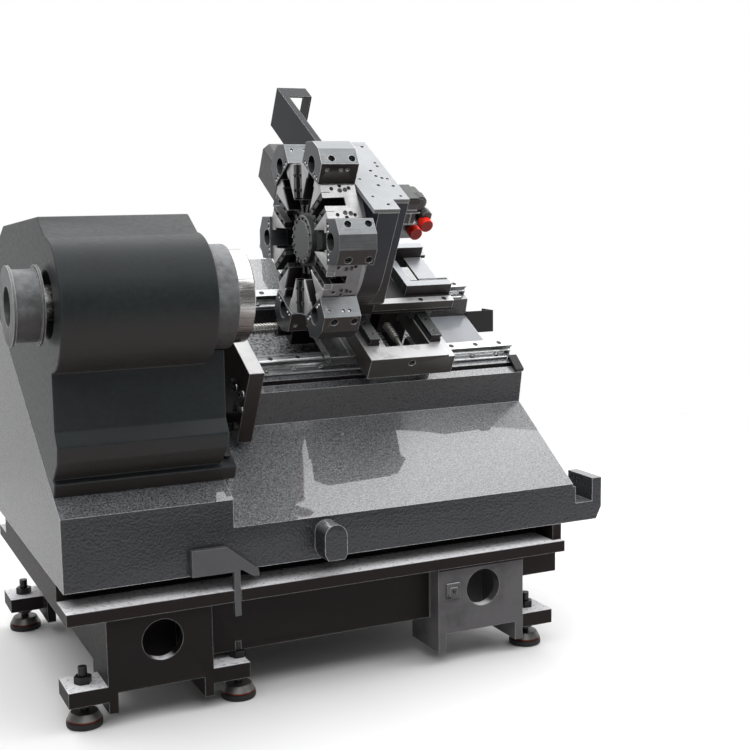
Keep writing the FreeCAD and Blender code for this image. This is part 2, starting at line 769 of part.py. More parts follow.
# short ball screw and coupling
x_screw = turned("side", [
    ("-saddle_fall + 14", "0"),
    ("-saddle_fall + 14", "x_screw_radius - 3"),
    ("-window_fall + 2", "x_screw_radius - 3"),
    ("-window_fall + 2", "x_screw_radius"),
    ("window_rise - 2", "x_screw_radius"),
    ("window_rise - 2", "x_screw_radius - 3"),
    ("bed_rise + 90", "x_screw_radius - 3"),
    ("bed_rise + 90", "0"),
])
keep(lean(x_screw, 0, "x_screw_n", "x_screw_x"), "x_ball_screw")
coupling = cut(rod("y", "x_screw_x", "bed_rise + 70", "x_screw_n", "24", "159"),
               rod("y", "x_screw_x", "bed_rise + 69", "x_screw_n", "x_screw_radius - 3", "21"))
keep(lean(coupling), "x_coupling")

# slide that carries the turret
slide = prism("top", "slide_bottom", "slide_top - slide_bottom", [
    ("slide_left", "slide_front"),
    ("slide_right", "slide_front"),
    ("slide_right", "slide_step"),
    ("slide_waist", "slide_step"),
    ("slide_waist", "slide_rise"),
    ("slide_left", "slide_rise"),
])
pad = box("pad_left", "pad_front", "slide_top - 1", "slide_right - pad_left", "pad_rear - pad_front",
          "pad_top - slide_top + 1")
keep(lean(fuse(slide, pad)), "cross_slide")
blocks = []
for middle, start in (("x_rail_left", "slide_front + 5"), ("x_rail_left", "slide_rise - 96"),
                      ("x_rail_right", "slide_front + 5")):
    block = box(middle + " - 35", start, "saddle_top + 4", "70", "96", "slide_bottom - saddle_top - 4")
    slot = box(middle + " - rail_width / 2 - play", start + " - 1", "saddle_top + 3", "rail_width + 2 * play",
               "98", "x_rail_height - 3 + play")
    blocks.append(cut(block, slot))
keep(lean(group(blocks)), "x_carriage_blocks")
hanger = cut(box("x_screw_x - 30", "slide_front + 15", "x_screw_n - 26", "60", "110", "slide_bottom - x_screw_n + 26"),
             rod("y", "x_screw_x", "slide_front + 14", "x_screw_n", "x_screw_radius + play", "112"))
keep(lean(hanger), "x_ball_nut")

# turret housing: round about the hub at the front, flat on top with a cut corner
shell = prism("side", "housing_left", "housing_right - housing_left", [
    ("hub_s - barrel_radius", "hub_n"),
    ("slide_front + 5", "slide_top"),
    ("housing_rise", "slide_top"),
    ("housing_rise", "housing_top"),
    ("hub_s - barrel_radius", "housing_top"),
])
drum = rod("x", "block_right + play", "hub_s", "hub_n", "barrel_radius", "housing_right - block_right - play")
corner = box("housing_right - notch", "hub_s - barrel_radius - 1", "slide_top - 1", "notch + 1", "notch + 1",
             "housing_top - slide_top + 2")
shaft_room = rod("x", "block_right", "hub_s", "hub_n", "shaft_radius + play", "shaft_length + 2")
keep(lean(cut(fuse(shell, drum), corner, shaft_room)), "turret_housing")
lid = prism("top", "housing_top", "cover_thick", [
    ("housing_left - 16", "hub_s - barrel_radius"),
    ("housing_right - notch", "hub_s - barrel_radius"),
    ("housing_right - notch", "hub_s - barrel_radius + notch"),
    ("housing_right", "hub_s - barrel_radius + notch"),
    ("housing_right", "housing_rise"),
    ("housing_left - 16", "housing_rise"),
])
spots = []
for along in ("housing_left + 8", "housing_right - 20"):
    for step in range(4):
        up_lid = "(housing_rise - hub_s + barrel_radius) * %.2f" % (0.18 + 0.247 * step)
        spots.append((along, "hub_s - barrel_radius + " + up_lid, "5"))
pocket(lid, "top", "housing_top + cover_thick - 4", "5", [], spots)
keep(lean(lid), "turret_lid")
panel = box("housing_left - 18", "housing_rise + 4", "housing_top - 143", "4", "bed_rise - housing_rise", "130")
tab = box("housing_left - 18", "housing_rise", "housing_top - 126", "55", "5", "113")
lip = box("housing_left - 18", "housing_rise + 4", "housing_top - 18", "20", "bed_rise - housing_rise", "5")
strap = box("housing_left - 18", "bed_rise - 56", "housing_top - 18", "97", "60", "5")
arm = box("housing_left + 74", "bed_rise - 56", "housing_top - 138", "5", "60", "125")
keep(lean(fuse(panel, tab, lip, strap, arm)), "sheet_bracket")

# rear unit of the turret with its two capped ports
unit = fuse(box("housing_right", "hub_s - 6", "hub_n - 55", "46", "180", "188"),
            rod("y", "housing_right + 61", "hub_s - 3", "hub_n + 80", "48", "150"),
            box("housing_right + 20", "hub_s - 8", "hub_n + 40", "50", "60", "70"))
keep(lean(unit), "turret_motor")
union = fuse(box("housing_right + 46", "hub_s + 49", "hub_n - 37", "124", "40", "66"),
             box("housing_right + 110", "hub_s + 49", "hub_n + 29", "60", "40", "56"))
keep(lean(union), "union_block")
fittings = []
caps = []
for s, n in ((14, -3), (-34, 54)):
    fittings.append(rod("y", "housing_right + 146", "hub_s + %d" % (s + 30), "hub_n + %d" % n, "13",
                        "%d" % (49 - 30 - s)))
    caps.append(rod("y", "housing_right + 146", "hub_s + %d" % s, "hub_n + %d" % n, "20", "30"))
keep(lean(group(fittings)), "port_fittings")
keep(lean(group(caps)), "port_caps")

# turret disc, drawn about the hub
rim = []
for station in range(12):
    turn = station * 30 + 15
    rim.append(("flat_radius / cos(15) * cos(%d)" % turn, "flat_radius / cos(15) * sin(%d)" % turn))
disc = prism("side", "face_left", "block_right - face_left", rim)
slots = []
clamps = []
for station in range(6):
    turn = station * 60
    slot = box(0, 0, 0, "65", "flat_radius", "slot_width")
    slots.append(around(slot, turn, "face_left - 1", "hub_radius", "-slot_width / 2"))
    slot = box(0, 0, 0, "50", "flat_radius - hub_radius", "block_half - 16")
    slots.append(around(slot, turn + 30, "face_left - 1", "hub_radius", "-(block_half - 16) / 2"))
    for side in ("slot_width / 2", "-slot_width / 2 - 14"):
        clamp = box(0, 0, 0, "10", "80", "14")
        clamps.append(around(clamp, turn, "face_left - 10", "flat_radius - 92", side))
hollow = rod("x", "face_left - 1", 0, 0, "hub_radius + 8", "36")
keep(lean(cut(disc, hollow, *slots), "hub_s", "hub_n"), "turret_disc")
keep(lean(group(clamps), "hub_s", "hub_n"), "slot_clamps")
hub_cover = turned("top", [
    ("face_left + 35", "0"),
    ("face_left + 35", "hub_radius - 8"),
    ("face_left + 12", "hub_radius - 8"),
    ("face_left + 12", "hub_radius"),
    ("face_left + 8", "hub_radius"),
    ("face_left + 8", "0"),
])
keep(lean(hub_cover, "hub_s", "hub_n"), "hub_cover")
cover_bolts = []
for step in range(16):
    turn = "%f" % (step * 22.5)
    bolt = stud("x", 8, "face_left + 3", "(hub_radius - 9) * cos(%s)" % turn,
                "(hub_radius - 9) * sin(%s)" % turn, "5", "5")
    cover_bolts.append(bolt)
keep(lean(group(cover_bolts), "hub_s", "hub_n"), "hub_bolts")
shaft = rod("x", "block_right", 0, 0, "shaft_radius", "shaft_length")
keep(lean(group([shaft]), "hub_s", "hub_n"), "turret_shaft")
for station in range(6):
    holder = prism("side", "block_left", "block_right - block_left", [
        ("flat_radius", "-block_half"),
        ("block_shoulder", "-block_half"),
        ("block_crown", "-block_half / 3"),
        ("block_crown", "block_half / 3"),
        ("block_shoulder", "block_half"),
        ("flat_radius", "block_half"),
    ], [("bore_circle", 0, "bore_radius")])
    lean(holder, "hub_s", "hub_n")
    bind(holder, Placement__Rotation__Angle="slant + %d" % (station * 60 + 30))
    keep(holder, "boring_holder_%d" % (station + 1))

doc.recompute()
for item in doc.Objects:
    if "Invalid" in item.State or "Error" in item.State:
        raise RuntimeError("%s does not build" % item.Label)
os.makedirs("parts", exist_ok=True)
for piece in pieces:
    shape = piece.Shape
    if shape.isNull() or not shape.isValid():
        raise RuntimeError("%s has no valid shape" % piece.Label)
    shape.exportStep("parts/%s.step" % piece.Label)
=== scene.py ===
"""Looks of a slant bed turning lathe with its covers off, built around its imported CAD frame."""

import json
import logging
import math
from dataclasses import dataclass, field
from enum import Enum

import bmesh
import bpy
from mathutils import Matrix, Vector


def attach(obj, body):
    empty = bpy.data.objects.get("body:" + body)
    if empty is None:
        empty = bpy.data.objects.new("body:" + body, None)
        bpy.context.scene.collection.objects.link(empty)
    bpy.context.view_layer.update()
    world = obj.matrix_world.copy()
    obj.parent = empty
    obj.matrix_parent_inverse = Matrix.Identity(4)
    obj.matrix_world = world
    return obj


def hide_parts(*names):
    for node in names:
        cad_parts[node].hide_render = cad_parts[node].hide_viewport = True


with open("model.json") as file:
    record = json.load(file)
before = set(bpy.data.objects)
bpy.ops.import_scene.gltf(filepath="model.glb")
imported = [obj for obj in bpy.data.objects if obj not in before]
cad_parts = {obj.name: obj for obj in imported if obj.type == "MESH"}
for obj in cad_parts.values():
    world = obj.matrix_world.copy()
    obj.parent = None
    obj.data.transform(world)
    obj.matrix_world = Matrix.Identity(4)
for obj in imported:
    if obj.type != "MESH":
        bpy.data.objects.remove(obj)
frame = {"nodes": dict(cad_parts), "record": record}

LOG = logging.getLogger("lathe")
MM = 0.001

# Places and sizes of pieces are in millimetres, and CREASE is in degrees.
CREASE = 32.0
HOLE_DEPTH = 3.0
PLUG_DEPTH = 3.5
PLUG_HEIGHT = 2.2
PROUD = 2.0

Mesh = bmesh.types.BMesh
Tree = bpy.types.NodeTree
Socket = bpy.types.NodeSocket
Colour = Place = tuple[float, float, float]
Spots = tuple[tuple[float, float], ...]


class Body(Enum):
    """CAD bodies that a piece can ride on."""

    BED = "bed"
    SPINDLE = "spindle_group"
    LONG_SCREW = "long_screw"
    SADDLE = "saddle_group"
    SHORT_SCREW = "short_screw"
    SLIDE = "slide_group"
    TURRET = "turret_group"


class Grain(Enum):
    """Kinds of surface relief."""

    CAST = "cast"
    GROUND = "ground"
    SMOOTH = "smooth"


# ---------------------------------------------------------------- places

def moved(x: float, y: float, z: float) -> Matrix:
    """Move by a step along each axis."""
    return Matrix.Translation((x, y, z))


def turned(degrees: float, axis: str = "X") -> Matrix:
    """Turn by an angle about an axis."""
    return Matrix.Rotation(math.radians(degrees), 4, axis)


UPRIGHT = Matrix.Identity(4)
LEFTWARD = turned(-90, "Y")
SLOPE = moved(0, 290, 880) @ turned(30)


def extent(node: str, place: Matrix = UPRIGHT) -> tuple[Vector, Vector]:
    """Measure a CAD node along the axes of a place.

    Args:
        node: name of the CAD node.
        place: frame to measure in, in millimetres.

    Returns:
        Lowest and highest corner in that frame, in millimetres.
    """
    back = place.inverted()
    points = [back @ (vertex.co / MM) for vertex in frame["nodes"][node].data.vertices]
    low = Vector([min(point[axis] for point in points) for axis in range(3)])
    high = Vector([max(point[axis] for point in points) for axis in range(3)])
    return low, high


def hub_of(node: str) -> Matrix:
    """Give the slope frame moved to the middle of a node that turns about X."""
    low, high = extent(node, SLOPE)
    middle = (low + high) / 2
    return SLOPE @ moved(0, middle.y, middle.z)


# ---------------------------------------------------------------- mesh tools

def block(low: tuple, high: tuple) -> Mesh:
    """Make a box between two corners."""
    mesh = bmesh.new()
    size = Vector(high) - Vector(low)
    middle = (Vector(high) + Vector(low)) / 2
    bmesh.ops.create_cube(mesh, size=1, matrix=Matrix.Translation(middle) @ Matrix.Diagonal((*size, 1)))
    return mesh


AIMS = {"x": turned(90, "Y"), "y": turned(-90), "z": UPRIGHT}


def bar(axis: str, start: tuple, radius: float, length: float, sides: int = 32,
        end_radius: float | None = None) -> Mesh:
    """Make a round bar or cone from the middle of its first end.

    Args:
        axis: x, y or z.
        start: middle of the first end.
        radius: radius at the first end.
        length: length along the axis.
        sides: number of sides.
        end_radius: radius at the far end, if it differs.

    Returns:
        The bar as a mesh.
    """
    mesh = bmesh.new()
    place = Matrix.Translation(start) @ AIMS[axis] @ Matrix.Translation((0, 0, length / 2))
    bmesh.ops.create_cone(mesh, cap_ends=True, segments=sides, radius1=radius,
                          radius2=radius if end_radius is None else end_radius, depth=length, matrix=place)
    return mesh


def lathe(outline: list[tuple[float, float]], steps: int = 48, pitch: float = 0.0, turns: int = 1) -> Mesh:
    """Turn an outline of (along, radius) points about the X axis.

    Args:
        outline: points from the first end to the last, each an X and a radius.
        steps: number of steps in one turn.
        pitch: advance along X in one turn, or 0 for a plain round shape.
        turns: number of turns.

    Returns:
        A turned mesh, closed where the outline starts and ends on the axis.
    """
    mesh = bmesh.new()
    vertices = [mesh.verts.new((along, radius, 0)) for along, radius in outline]
    for first, second in zip(vertices, vertices[1:]):
        mesh.edges.new((first, second))
    bmesh.ops.spin(mesh, geom=mesh.verts[:] + mesh.edges[:], cent=(0, 0, 0), axis=(1, 0, 0),
                   dvec=(pitch / steps, 0, 0), angle=math.tau * turns, steps=steps * turns, use_merge=not pitch)
    bmesh.ops.remove_doubles(mesh, verts=mesh.verts[:], dist=0.01 if pitch else 0.001)
    bmesh.ops.recalc_face_normals(mesh, faces=mesh.faces[:])
    return mesh


def helix(left: float, right: float, root: float, crest: float, pitch: float) -> Mesh:
    """Wind a round thread along X, as a sleeve that is open at both ends.

    Args:
        left: X of the first end.
        right: X of the last end.
        root: radius at the bottom of the thread.
        crest: radius at its top.
        pitch: advance of one turn.

    Returns:
        The thread.
    """
    profile = ((0.0, crest), (0.28, crest), (0.42, root), (0.5, root - 0.5), (0.72, root - 0.5), (0.86, root),
               (1.0, crest))
    outline = [(left + share * pitch, radius) for share, radius in profile]
    return lathe(outline, 20, pitch, int((right - left) / pitch) - 1)


def socket_screw(radius: float, height: float, sides: int = 20) -> Mesh:
    """Make the head of a socket screw that stands on Z = 0.

    Args:
        radius: radius of the head.
        height: height of the head.
        sides: number of sides.

    Returns:
        The head with a chamfer and a sunk socket.
    """
    chamfer, land, depth = radius * 0.12, radius * 0.36, height * 0.55
    mesh = bar("z", (0, 0, 0), radius, height, sides)
    top = max(mesh.faces, key=lambda face: face.calc_center_median().z)
    bmesh.ops.inset_region(mesh, faces=[top], thickness=chamfer)
    rim = [vertex for vertex in mesh.verts if abs(vertex.co.z - height) < 1e-4
           and math.hypot(vertex.co.x, vertex.co.y) > radius * 0.97]
    for vertex in rim:
        vertex.co.z -= chamfer
    bmesh.ops.inset_region(mesh, faces=[top], thickness=land)
    bmesh.ops.translate(mesh, vec=(0, 0, -depth), verts=list(top.verts))
    return mesh


def stored(name: str, mesh: Mesh) -> bpy.types.Mesh:
    """Write a mesh to a data block of its own and free it."""
    data = bpy.data.meshes.new(name)
    mesh.to_mesh(data)
    mesh.free()
    return data


def linked(name: str, data: bpy.types.ID) -> bpy.types.Object:
    """Make an object of its data and link it to the scene."""
    item = bpy.data.objects.new(name, data)
    bpy.context.scene.collection.objects.link(item)
    return item


def placed(mesh: Mesh, place: Matrix) -> Mesh:
    """Move a mesh to a place and give it back."""
    bmesh.ops.transform(mesh, matrix=place, verts=mesh.verts[:])
    return mesh


def joined(meshes: list[Mesh]) -> Mesh:
    """Gather several meshes into one and free them.

    Args:
        meshes: the meshes.

    Returns:
        The one mesh.
    """
    whole = bmesh.new()
    for mesh in meshes:
        part = stored("part", mesh)
        whole.from_mesh(part)
        bpy.data.meshes.remove(part)
    return whole


def blocks(*corners: tuple[tuple, tuple]) -> Mesh:
    """Make one mesh of several boxes, each between two corners."""
    return joined([block(low, high) for low, high in corners])


def screws(places: list[Matrix], radius: float, height: float, sides: int = 20) -> Mesh:
    """Make one mesh of socket screw heads, one at each place."""
    return joined([placed(socket_screw(radius, height, sides), place) for place in places])


def node_mesh(node: str) -> Mesh:
    """Copy a CAD node's mesh in millimetres, with its triangles merged into flat faces.

    Args:
        node: name of the CAD node.

    Returns:
        The copy.
    """
    mesh = bmesh.new()
    mesh.from_mesh(frame["nodes"][node].data)
    bmesh.ops.scale(mesh, vec=(1 / MM,) * 3, verts=mesh.verts[:])
    bmesh.ops.remove_doubles(mesh, verts=mesh.verts[:], dist=0.01)
    bmesh.ops.dissolve_limit(mesh, angle_limit=math.radians(0.5), verts=mesh.verts[:], edges=mesh.edges[:])
    return mesh


def carved(mesh: Mesh, tools: list[Mesh]) -> Mesh:
    """Take closed tools out of a closed mesh.

    Args:
        mesh: the solid that is cut.
        tools: closed meshes to take away.

    Returns:
        The cut mesh.
    """
    objects = [linked("carving", stored("carving", part)) for part in (mesh, joined(tools))]
    solid, tool = objects
    cut = solid.modifiers.new("cut", "BOOLEAN")
    cut.operation = "DIFFERENCE"
    cut.solver = "EXACT"
    cut.use_self = True
    cut.object = tool
    result = bmesh.new()
    result.from_object(solid, bpy.context.evaluated_depsgraph_get())
    for item in objects:
        data = item.data
        bpy.data.objects.remove(item)
        bpy.data.meshes.remove(data)
    bmesh.ops.remove_doubles(result, verts=result.verts[:], dist=0.005)
    return result


# ---------------------------------------------------------------- finishes

VECTOR_MATH = "ShaderNodeVectorMath"
NOISE = "ShaderNodeTexNoise"
GLOSS_SPREAD = 0.25


def feed(tree: Tree, target: Socket, value: object) -> None:
    """Link a socket to an input, or set the input to a plain value."""
    if isinstance(value, Socket):
        tree.links.new(value, target)
    else:
        target.default_value = value


def node_of(tree: Tree, kind: str, **values: object) -> bpy.types.Node:
    """Add a node, set its properties and feed its inputs.

    Args:
        tree: the tree that takes the node.
        kind: type of the node.
        values: value of each property, and value or socket of each input, with _ for a space.

    Returns:
        The node.
    """
    made = tree.nodes.new(kind)
    for name, value in values.items():
        if hasattr(made, name):
            setattr(made, name, value)
        else:
            feed(tree, made.inputs[name.replace("_", " ")], value)
    return made


def maths(tree: Tree, operation: str, *values: object, kind: str = "ShaderNodeMath", result: str = "Value") -> Socket:
    """Add a Math or Vector Math node.

    Args:
        tree: the tree that takes the node.
        operation: what the node works out.
        values: a socket or value for each input in turn.
        kind: type of the node.
        result: name of the output.

    Returns:
        The output.
    """
    made = node_of(tree, kind, operation=operation)
    for target, value in zip(made.inputs, values):
        feed(tree, target, value)
    return made.outputs[result]


def ranged(tree: Tree, value: Socket, start: object, stop: object, curve: str = "SMOOTHSTEP",
           **ends: float) -> Socket:
    """Map a value from start..stop to 0..1, or to the ends To_Min and To_Max."""
    return node_of(tree, "ShaderNodeMapRange", interpolation_type=curve, Value=value, From_Min=start, From_Max=stop,
                   **ends).outputs["Result"]


def socketed_group(name: str, outputs: tuple[str, ...], **inputs: float | None) -> tuple:
    """Start a shader node group.

    Args:
        name: name of the group.
        outputs: name of each output, all of them numbers.
        inputs: default value of each number, and None for each vector.

    Returns:
        The group, the sockets that it is given and the sockets that it puts out.
    """
    group = bpy.data.node_groups.new(name, "ShaderNodeTree")
    for label, value in inputs.items():
        kind = "NodeSocketVector" if value is None else "NodeSocketFloat"
        made = group.interface.new_socket(label, in_out="INPUT", socket_type=kind)
        if value is not None:
            made.default_value = value
    for label in outputs:
        group.interface.new_socket(label, in_out="OUTPUT", socket_type="NodeSocketFloat")
    return group, group.nodes.new("NodeGroupInput").outputs, group.nodes.new("NodeGroupOutput").inputs


def noise(group: Tree, given: bpy.types.bpy_prop_collection, **values: float) -> Socket:
    """Add a noise with the vector and the scale that its group is given."""
    return node_of(group, NOISE, Vector=given["Vector"], Scale=given["Scale"], **values).outputs["Fac"]


class Effects:
    """Shader node groups that the finishes share."""

    def __init__(self) -> None:
        """Build each group once."""
        self.relief = {Grain.CAST: self._cast(), Grain.GROUND: self._even("ground_relief", 90.0, 2.0, 0.06),
                       Grain.SMOOTH: self._even("smooth_relief", 40.0, 4.0, 1.0)}
        self.wear_and_highlight = self._wear_and_highlight()
        self.grime = self._grime()
        self.zone = self._zone()
        self.facing_light = self._facing_light()

    def _cast(self) -> Tree:
        """Coarse orange peel of thick paint over a casting."""
        group, given, result = socketed_group("cast_relief", ("Height", "Tone"), Vector=None, Scale=90.0)
        bumps = noise(group, given, Detail=3.0, Roughness=0.6)
        pits = node_of(group, "ShaderNodeTexVoronoi", feature="SMOOTH_F1", Vector=given["Vector"],
                       Scale=given["Scale"], Smoothness=0.6)
        feed(group, result["Height"], maths(group, "MULTIPLY_ADD", pits.outputs["Distance"], 0.7, bumps))
        feed(group, result["Tone"], bumps)
        return group

    def _even(self, name: str, scale: float, detail: float, along: float) -> Tree:
        """Slight unevenness, or fine straight lines along X where the scale along X is low.

        Args:
            name: name of the group.
            scale: default scale.
            detail: detail of the noise.
            along: scale along X against the scale across.

        Returns:
            The group.
        """
        group, given, result = socketed_group(name, ("Height", "Tone"), Vector=None, Scale=scale)
        stretch = node_of(group, "ShaderNodeMapping", Vector=given["Vector"], Scale=(along, 1.0, 1.0))
        lines = node_of(group, NOISE, Vector=stretch.outputs["Vector"], Scale=given["Scale"], Detail=detail)
        for target in ("Height", "Tone"):
            feed(group, result[target], lines.outputs["Fac"])
        return group

    def _wear_and_highlight(self) -> Tree:
        """Bright broken line along edges: paint or oxide rubbed off an edge, together with a painted highlight where
        an edge catches the light.
        """
        group, given, result = socketed_group("edge_wear_and_highlight", ("Mask",), Vector=None, Width=0.004, Amount=1.0)
        rounded = node_of(group, "ShaderNodeBevel", samples=4, Radius=given["Width"])
        flat = node_of(group, "ShaderNodeNewGeometry")
        alike = maths(group, "DOT_PRODUCT", rounded.outputs["Normal"], flat.outputs["Normal"], kind=VECTOR_MATH)
        breaks = node_of(group, NOISE, Vector=given["Vector"], Scale=60.0, Detail=3.0)
        edge = maths(group, "MULTIPLY", maths(group, "SUBTRACT", 1.0, alike), 6.0)
        broken = maths(group, "MULTIPLY", edge, maths(group, "ADD", breaks.outputs["Fac"], 0.25))
        clamp = node_of(group, "ShaderNodeClamp", Value=maths(group, "MULTIPLY", broken, given["Amount"]))
        feed(group, result["Mask"], clamp.outputs["Result"])
        return group

    def _grime(self) -> Tree:
        """Patches of oil and dust."""
        group, given, result = socketed_group("grime", ("Mask",), Vector=None, Scale=6.0, Amount=0.5)
        share = ranged(group, noise(group, given, Detail=6.0, Roughness=0.65), 0.45, 0.7)
        feed(group, result["Mask"], maths(group, "MULTIPLY", share, given["Amount"]))
        return group

    def _facing_light(self) -> Tree:
        """Light speckle on faces that look up, for dust together with painted light on lit tops and painted
        reflections, and painted shade on faces that look down.
        """
        group, given, result = socketed_group("facing_light", ("Dust", "Oil", "Upward"), Vector=None, Scale=200.0,
                                              Level=0.7, Dust=0.0, Cover=0.5, Oil=0.6)
        normal = node_of(group, "ShaderNodeNewGeometry").outputs["Normal"]
        rise = node_of(group, "ShaderNodeSeparateXYZ", Vector=normal).outputs["Z"]
        # Faces that look up take light speckle: dust and painted light.
        upward = ranged(group, rise, given["Level"], 1.0)
        specks = noise(group, given, Detail=3.0, Roughness=0.7)
        bare, covered = (maths(group, "MULTIPLY_ADD", given["Cover"], -1.0, limit) for limit in (0.88, 1.12))
        dust_and_light = maths(group, "MULTIPLY", upward, ranged(group, specks, bare, covered, "LINEAR"))
        # Faces that look down are darkened: painted shade.
        under = ranged(group, rise, 0.05, -0.42)
        feed(group, result["Dust"], maths(group, "MULTIPLY", dust_and_light, given["Dust"]))
        feed(group, result["Oil"], maths(group, "MULTIPLY", under, given["Oil"]))
        feed(group, result["Upward"], upward)
        return group

    def _zone(self) -> Tree:
        """Share that grows along a direction, within a reach of an axis along X."""
        group, given, result = socketed_group("zone", ("Mask",), Vector=None, Direction=None, Start=0.0, Stop=1.0,
                                              Middle=None, Reach=99.0)
        along = maths(group, "DOT_PRODUCT", given["Vector"], given["Direction"], kind=VECTOR_MATH)
        share = ranged(group, along, given["Start"], given["Stop"], "LINEAR")
        across = maths(group, "MULTIPLY", given["Vector"], (0, 1, 1), kind=VECTOR_MATH, result="Vector")
        away = maths(group, "DISTANCE", across, given["Middle"], kind=VECTOR_MATH)
        near = maths(group, "LESS_THAN", away, given["Reach"])
        feed(group, result["Mask"], maths(group, "MULTIPLY", share, near))
        return group


def grey(level: float) -> Colour:
    """Give a grey of a level."""
    return level, level, level


@dataclass(frozen=True)
class Zone:
    """Part of a finish laid in another colour, in metres; some zones give the thing's own colours and some are painted
    light or shade.
    """

    colour: Colour
    direction: Place
    start: float
    stop: float
    middle: Place = (0, 0, 0)
    reach: float = 99.0


@dataclass(frozen=True)
class Finish:
    """One surface finish, with its colours linear and its sizes in metres."""

    name: str
    base: Colour
    other: Colour
    roughness: float = 0.45
    metallic: float = 0.0
    grain: Grain = Grain.SMOOTH
    scale: float = 60.0
    bump: float = 0.2
    depth: float = 0.0005
    edge: Colour = grey(0.7)
    # Bright broken line on edges: rubbed-off paint and oxide, together with a painted edge highlight.
    wear_and_highlight: float = 0.0
    wear_and_highlight_width: float = 0.003
    grime: float = 0.3
    grime_scale: float = 6.0
    grime_colour: Colour = grey(0.01)
    coat: float = 0.0
    wet: float = 0.0
    specular: float = 0.5
    # Light speckle on faces that look up: dust together with painted light on lit tops and painted reflections.
    dust_and_light: float = 0.0
    dust_and_light_cover: float = 0.5
    dust_and_light_colour: Colour = (0.35, 0.36, 0.38)
    dust_and_light_scale: float = 220.0
    dust_and_light_level: float = 0.7
    # Darkening of faces that look down: painted shade.
    underside_shade: float = 0.8
    underside_shade_colour: Colour = (0.02, 0.015, 0.014)
    zones: tuple[Zone, ...] = ()

    def material(self, effects: Effects) -> bpy.types.Material:
        """Build the material once and give it back after that.

        Args:
            effects: the shared node groups.

        Returns:
            The material of this finish.
        """
        known = bpy.data.materials.get(self.name)
        if known:
            return known
        made = bpy.data.materials.new(self.name)
        made.use_nodes = True
        tree = made.node_tree
        shader = tree.nodes["Principled BSDF"].inputs
        where = node_of(tree, "ShaderNodeTexCoord").outputs["Object"]
        relief = self._shared(tree, effects.relief[self.grain], where, Scale=self.scale)
        wear_and_highlight = self._shared(tree, effects.wear_and_highlight, where, Width=self.wear_and_highlight_width, Amount=self.wear_and_highlight)
        grime = self._shared(tree, effects.grime, where, Scale=self.grime_scale, Amount=self.grime)
        facing_light = self._shared(tree, effects.facing_light, where, Scale=self.dust_and_light_scale, Level=self.dust_and_light_level,
                             Dust=self.dust_and_light, Cover=self.dust_and_light_cover, Oil=self.underside_shade)
        layers = [(relief["Tone"], self.other)]
        for zone in self.zones:
            share = self._shared(tree, effects.zone, where, Direction=zone.direction, Start=zone.start,
                                 Stop=zone.stop, Middle=zone.middle, Reach=zone.reach)
            layers.append((share["Mask"], zone.colour))
        # Grime is dirt; the facing layers lay dust with painted light on faces that look up and painted shade on faces
        # that look down; the edge layer is wear with a painted highlight.
        layers += [(grime["Mask"], self.grime_colour), (facing_light["Dust"], self.dust_and_light_colour),
                   (facing_light["Oil"], self.underside_shade_colour), (wear_and_highlight["Mask"], self.edge)]
        colour = (*self.base, 1)
        for share, layer in layers:
            colour = self._laid(tree, share, colour, layer)
        gloss = maths(tree, "MULTIPLY_ADD", relief["Tone"], GLOSS_SPREAD, self.roughness - GLOSS_SPREAD / 2)
        bump = node_of(tree, "ShaderNodeBump", Strength=self.bump, Distance=self.depth, Height=relief["Height"])
        for name, value in (("Metallic", self.metallic), ("Coat Weight", self.coat), ("Base Color", colour),
                            ("Specular IOR Level", self.specular), ("Roughness", gloss),
                            ("Normal", bump.outputs["Normal"])):
            feed(tree, shader[name], value)
        if self.wet:
            feed(tree, shader["Coat IOR"], self.wet)
            feed(tree, shader["Coat Weight"], maths(tree, "MULTIPLY", facing_light["Upward"], self.coat))
        return made

    def _shared(self, tree: Tree, group: Tree, where: Socket, **values: object) -> bpy.types.bpy_prop_collection:
        """Place a shared group in a material with its own values, and give its outputs."""
        return node_of(tree, "ShaderNodeGroup", node_tree=group, Vector=where, **values).outputs

    def _laid(self, tree: Tree, share: Socket, under: object, colour: Colour) -> Socket:
        """Lay a colour over another colour or socket by a share."""
        made = node_of(tree, "ShaderNodeMix", data_type="RGBA")
        for index, value in ((0, share), (6, under), (7, (*colour, 1))):
            feed(tree, made.inputs[index], value)
        return made.outputs[2]


HUB = hub_of("hub_cover").translation * MM
DISC_FACE = extent("turret_disc")[0].x * MM
HOLDER_FACE = extent("boring_holder_1")[0].x * MM
DRUM_EDGE = extent("turret_lid")[0].x * MM + 0.016
# Near black for painted shade in the recesses of the turret disc.
RECESS_SHADE = grey(0.006)

BED_PAINT = Finish("bed_paint_look", (0.017, 0.018, 0.022), (0.028, 0.029, 0.034), 0.3, grain=Grain.CAST, scale=150,
                   bump=0.8, depth=0.0016, wear_and_highlight=1.0, edge=(0.7, 0.71, 0.73), grime_scale=4, coat=0.8, wet=1.85,
                   dust_and_light=0.75, dust_and_light_colour=(0.3, 0.31, 0.32), dust_and_light_level=0.1)
BASE_PAINT = Finish("base_paint_look", (0.008, 0.006, 0.006), (0.014, 0.01, 0.01), 0.5, grain=Grain.CAST, scale=90,
                    bump=0.25, depth=0.0008, wear_and_highlight=0.6, edge=grey(0.45), grime=0.4, specular=0.12,
                    dust_and_light=1.0, dust_and_light_cover=0.66, dust_and_light_colour=(0.8, 0.8, 0.82), dust_and_light_level=0.8, dust_and_light_scale=70, zones=(
                        # Painted light: the base is lighter from X −0.336 to −0.045 m below Z 0.2835 m, round the
                        # right leg; the two dark zones close the band.
                        Zone((0.11, 0.106, 0.11), (1, 0, 0), -0.336, -0.335),
                        Zone((0.014, 0.009, 0.009), (1, 0, 0), -0.045, -0.044),
                        Zone((0.014, 0.009, 0.009), (0, 0, 1), 0.2835, 0.2845)))
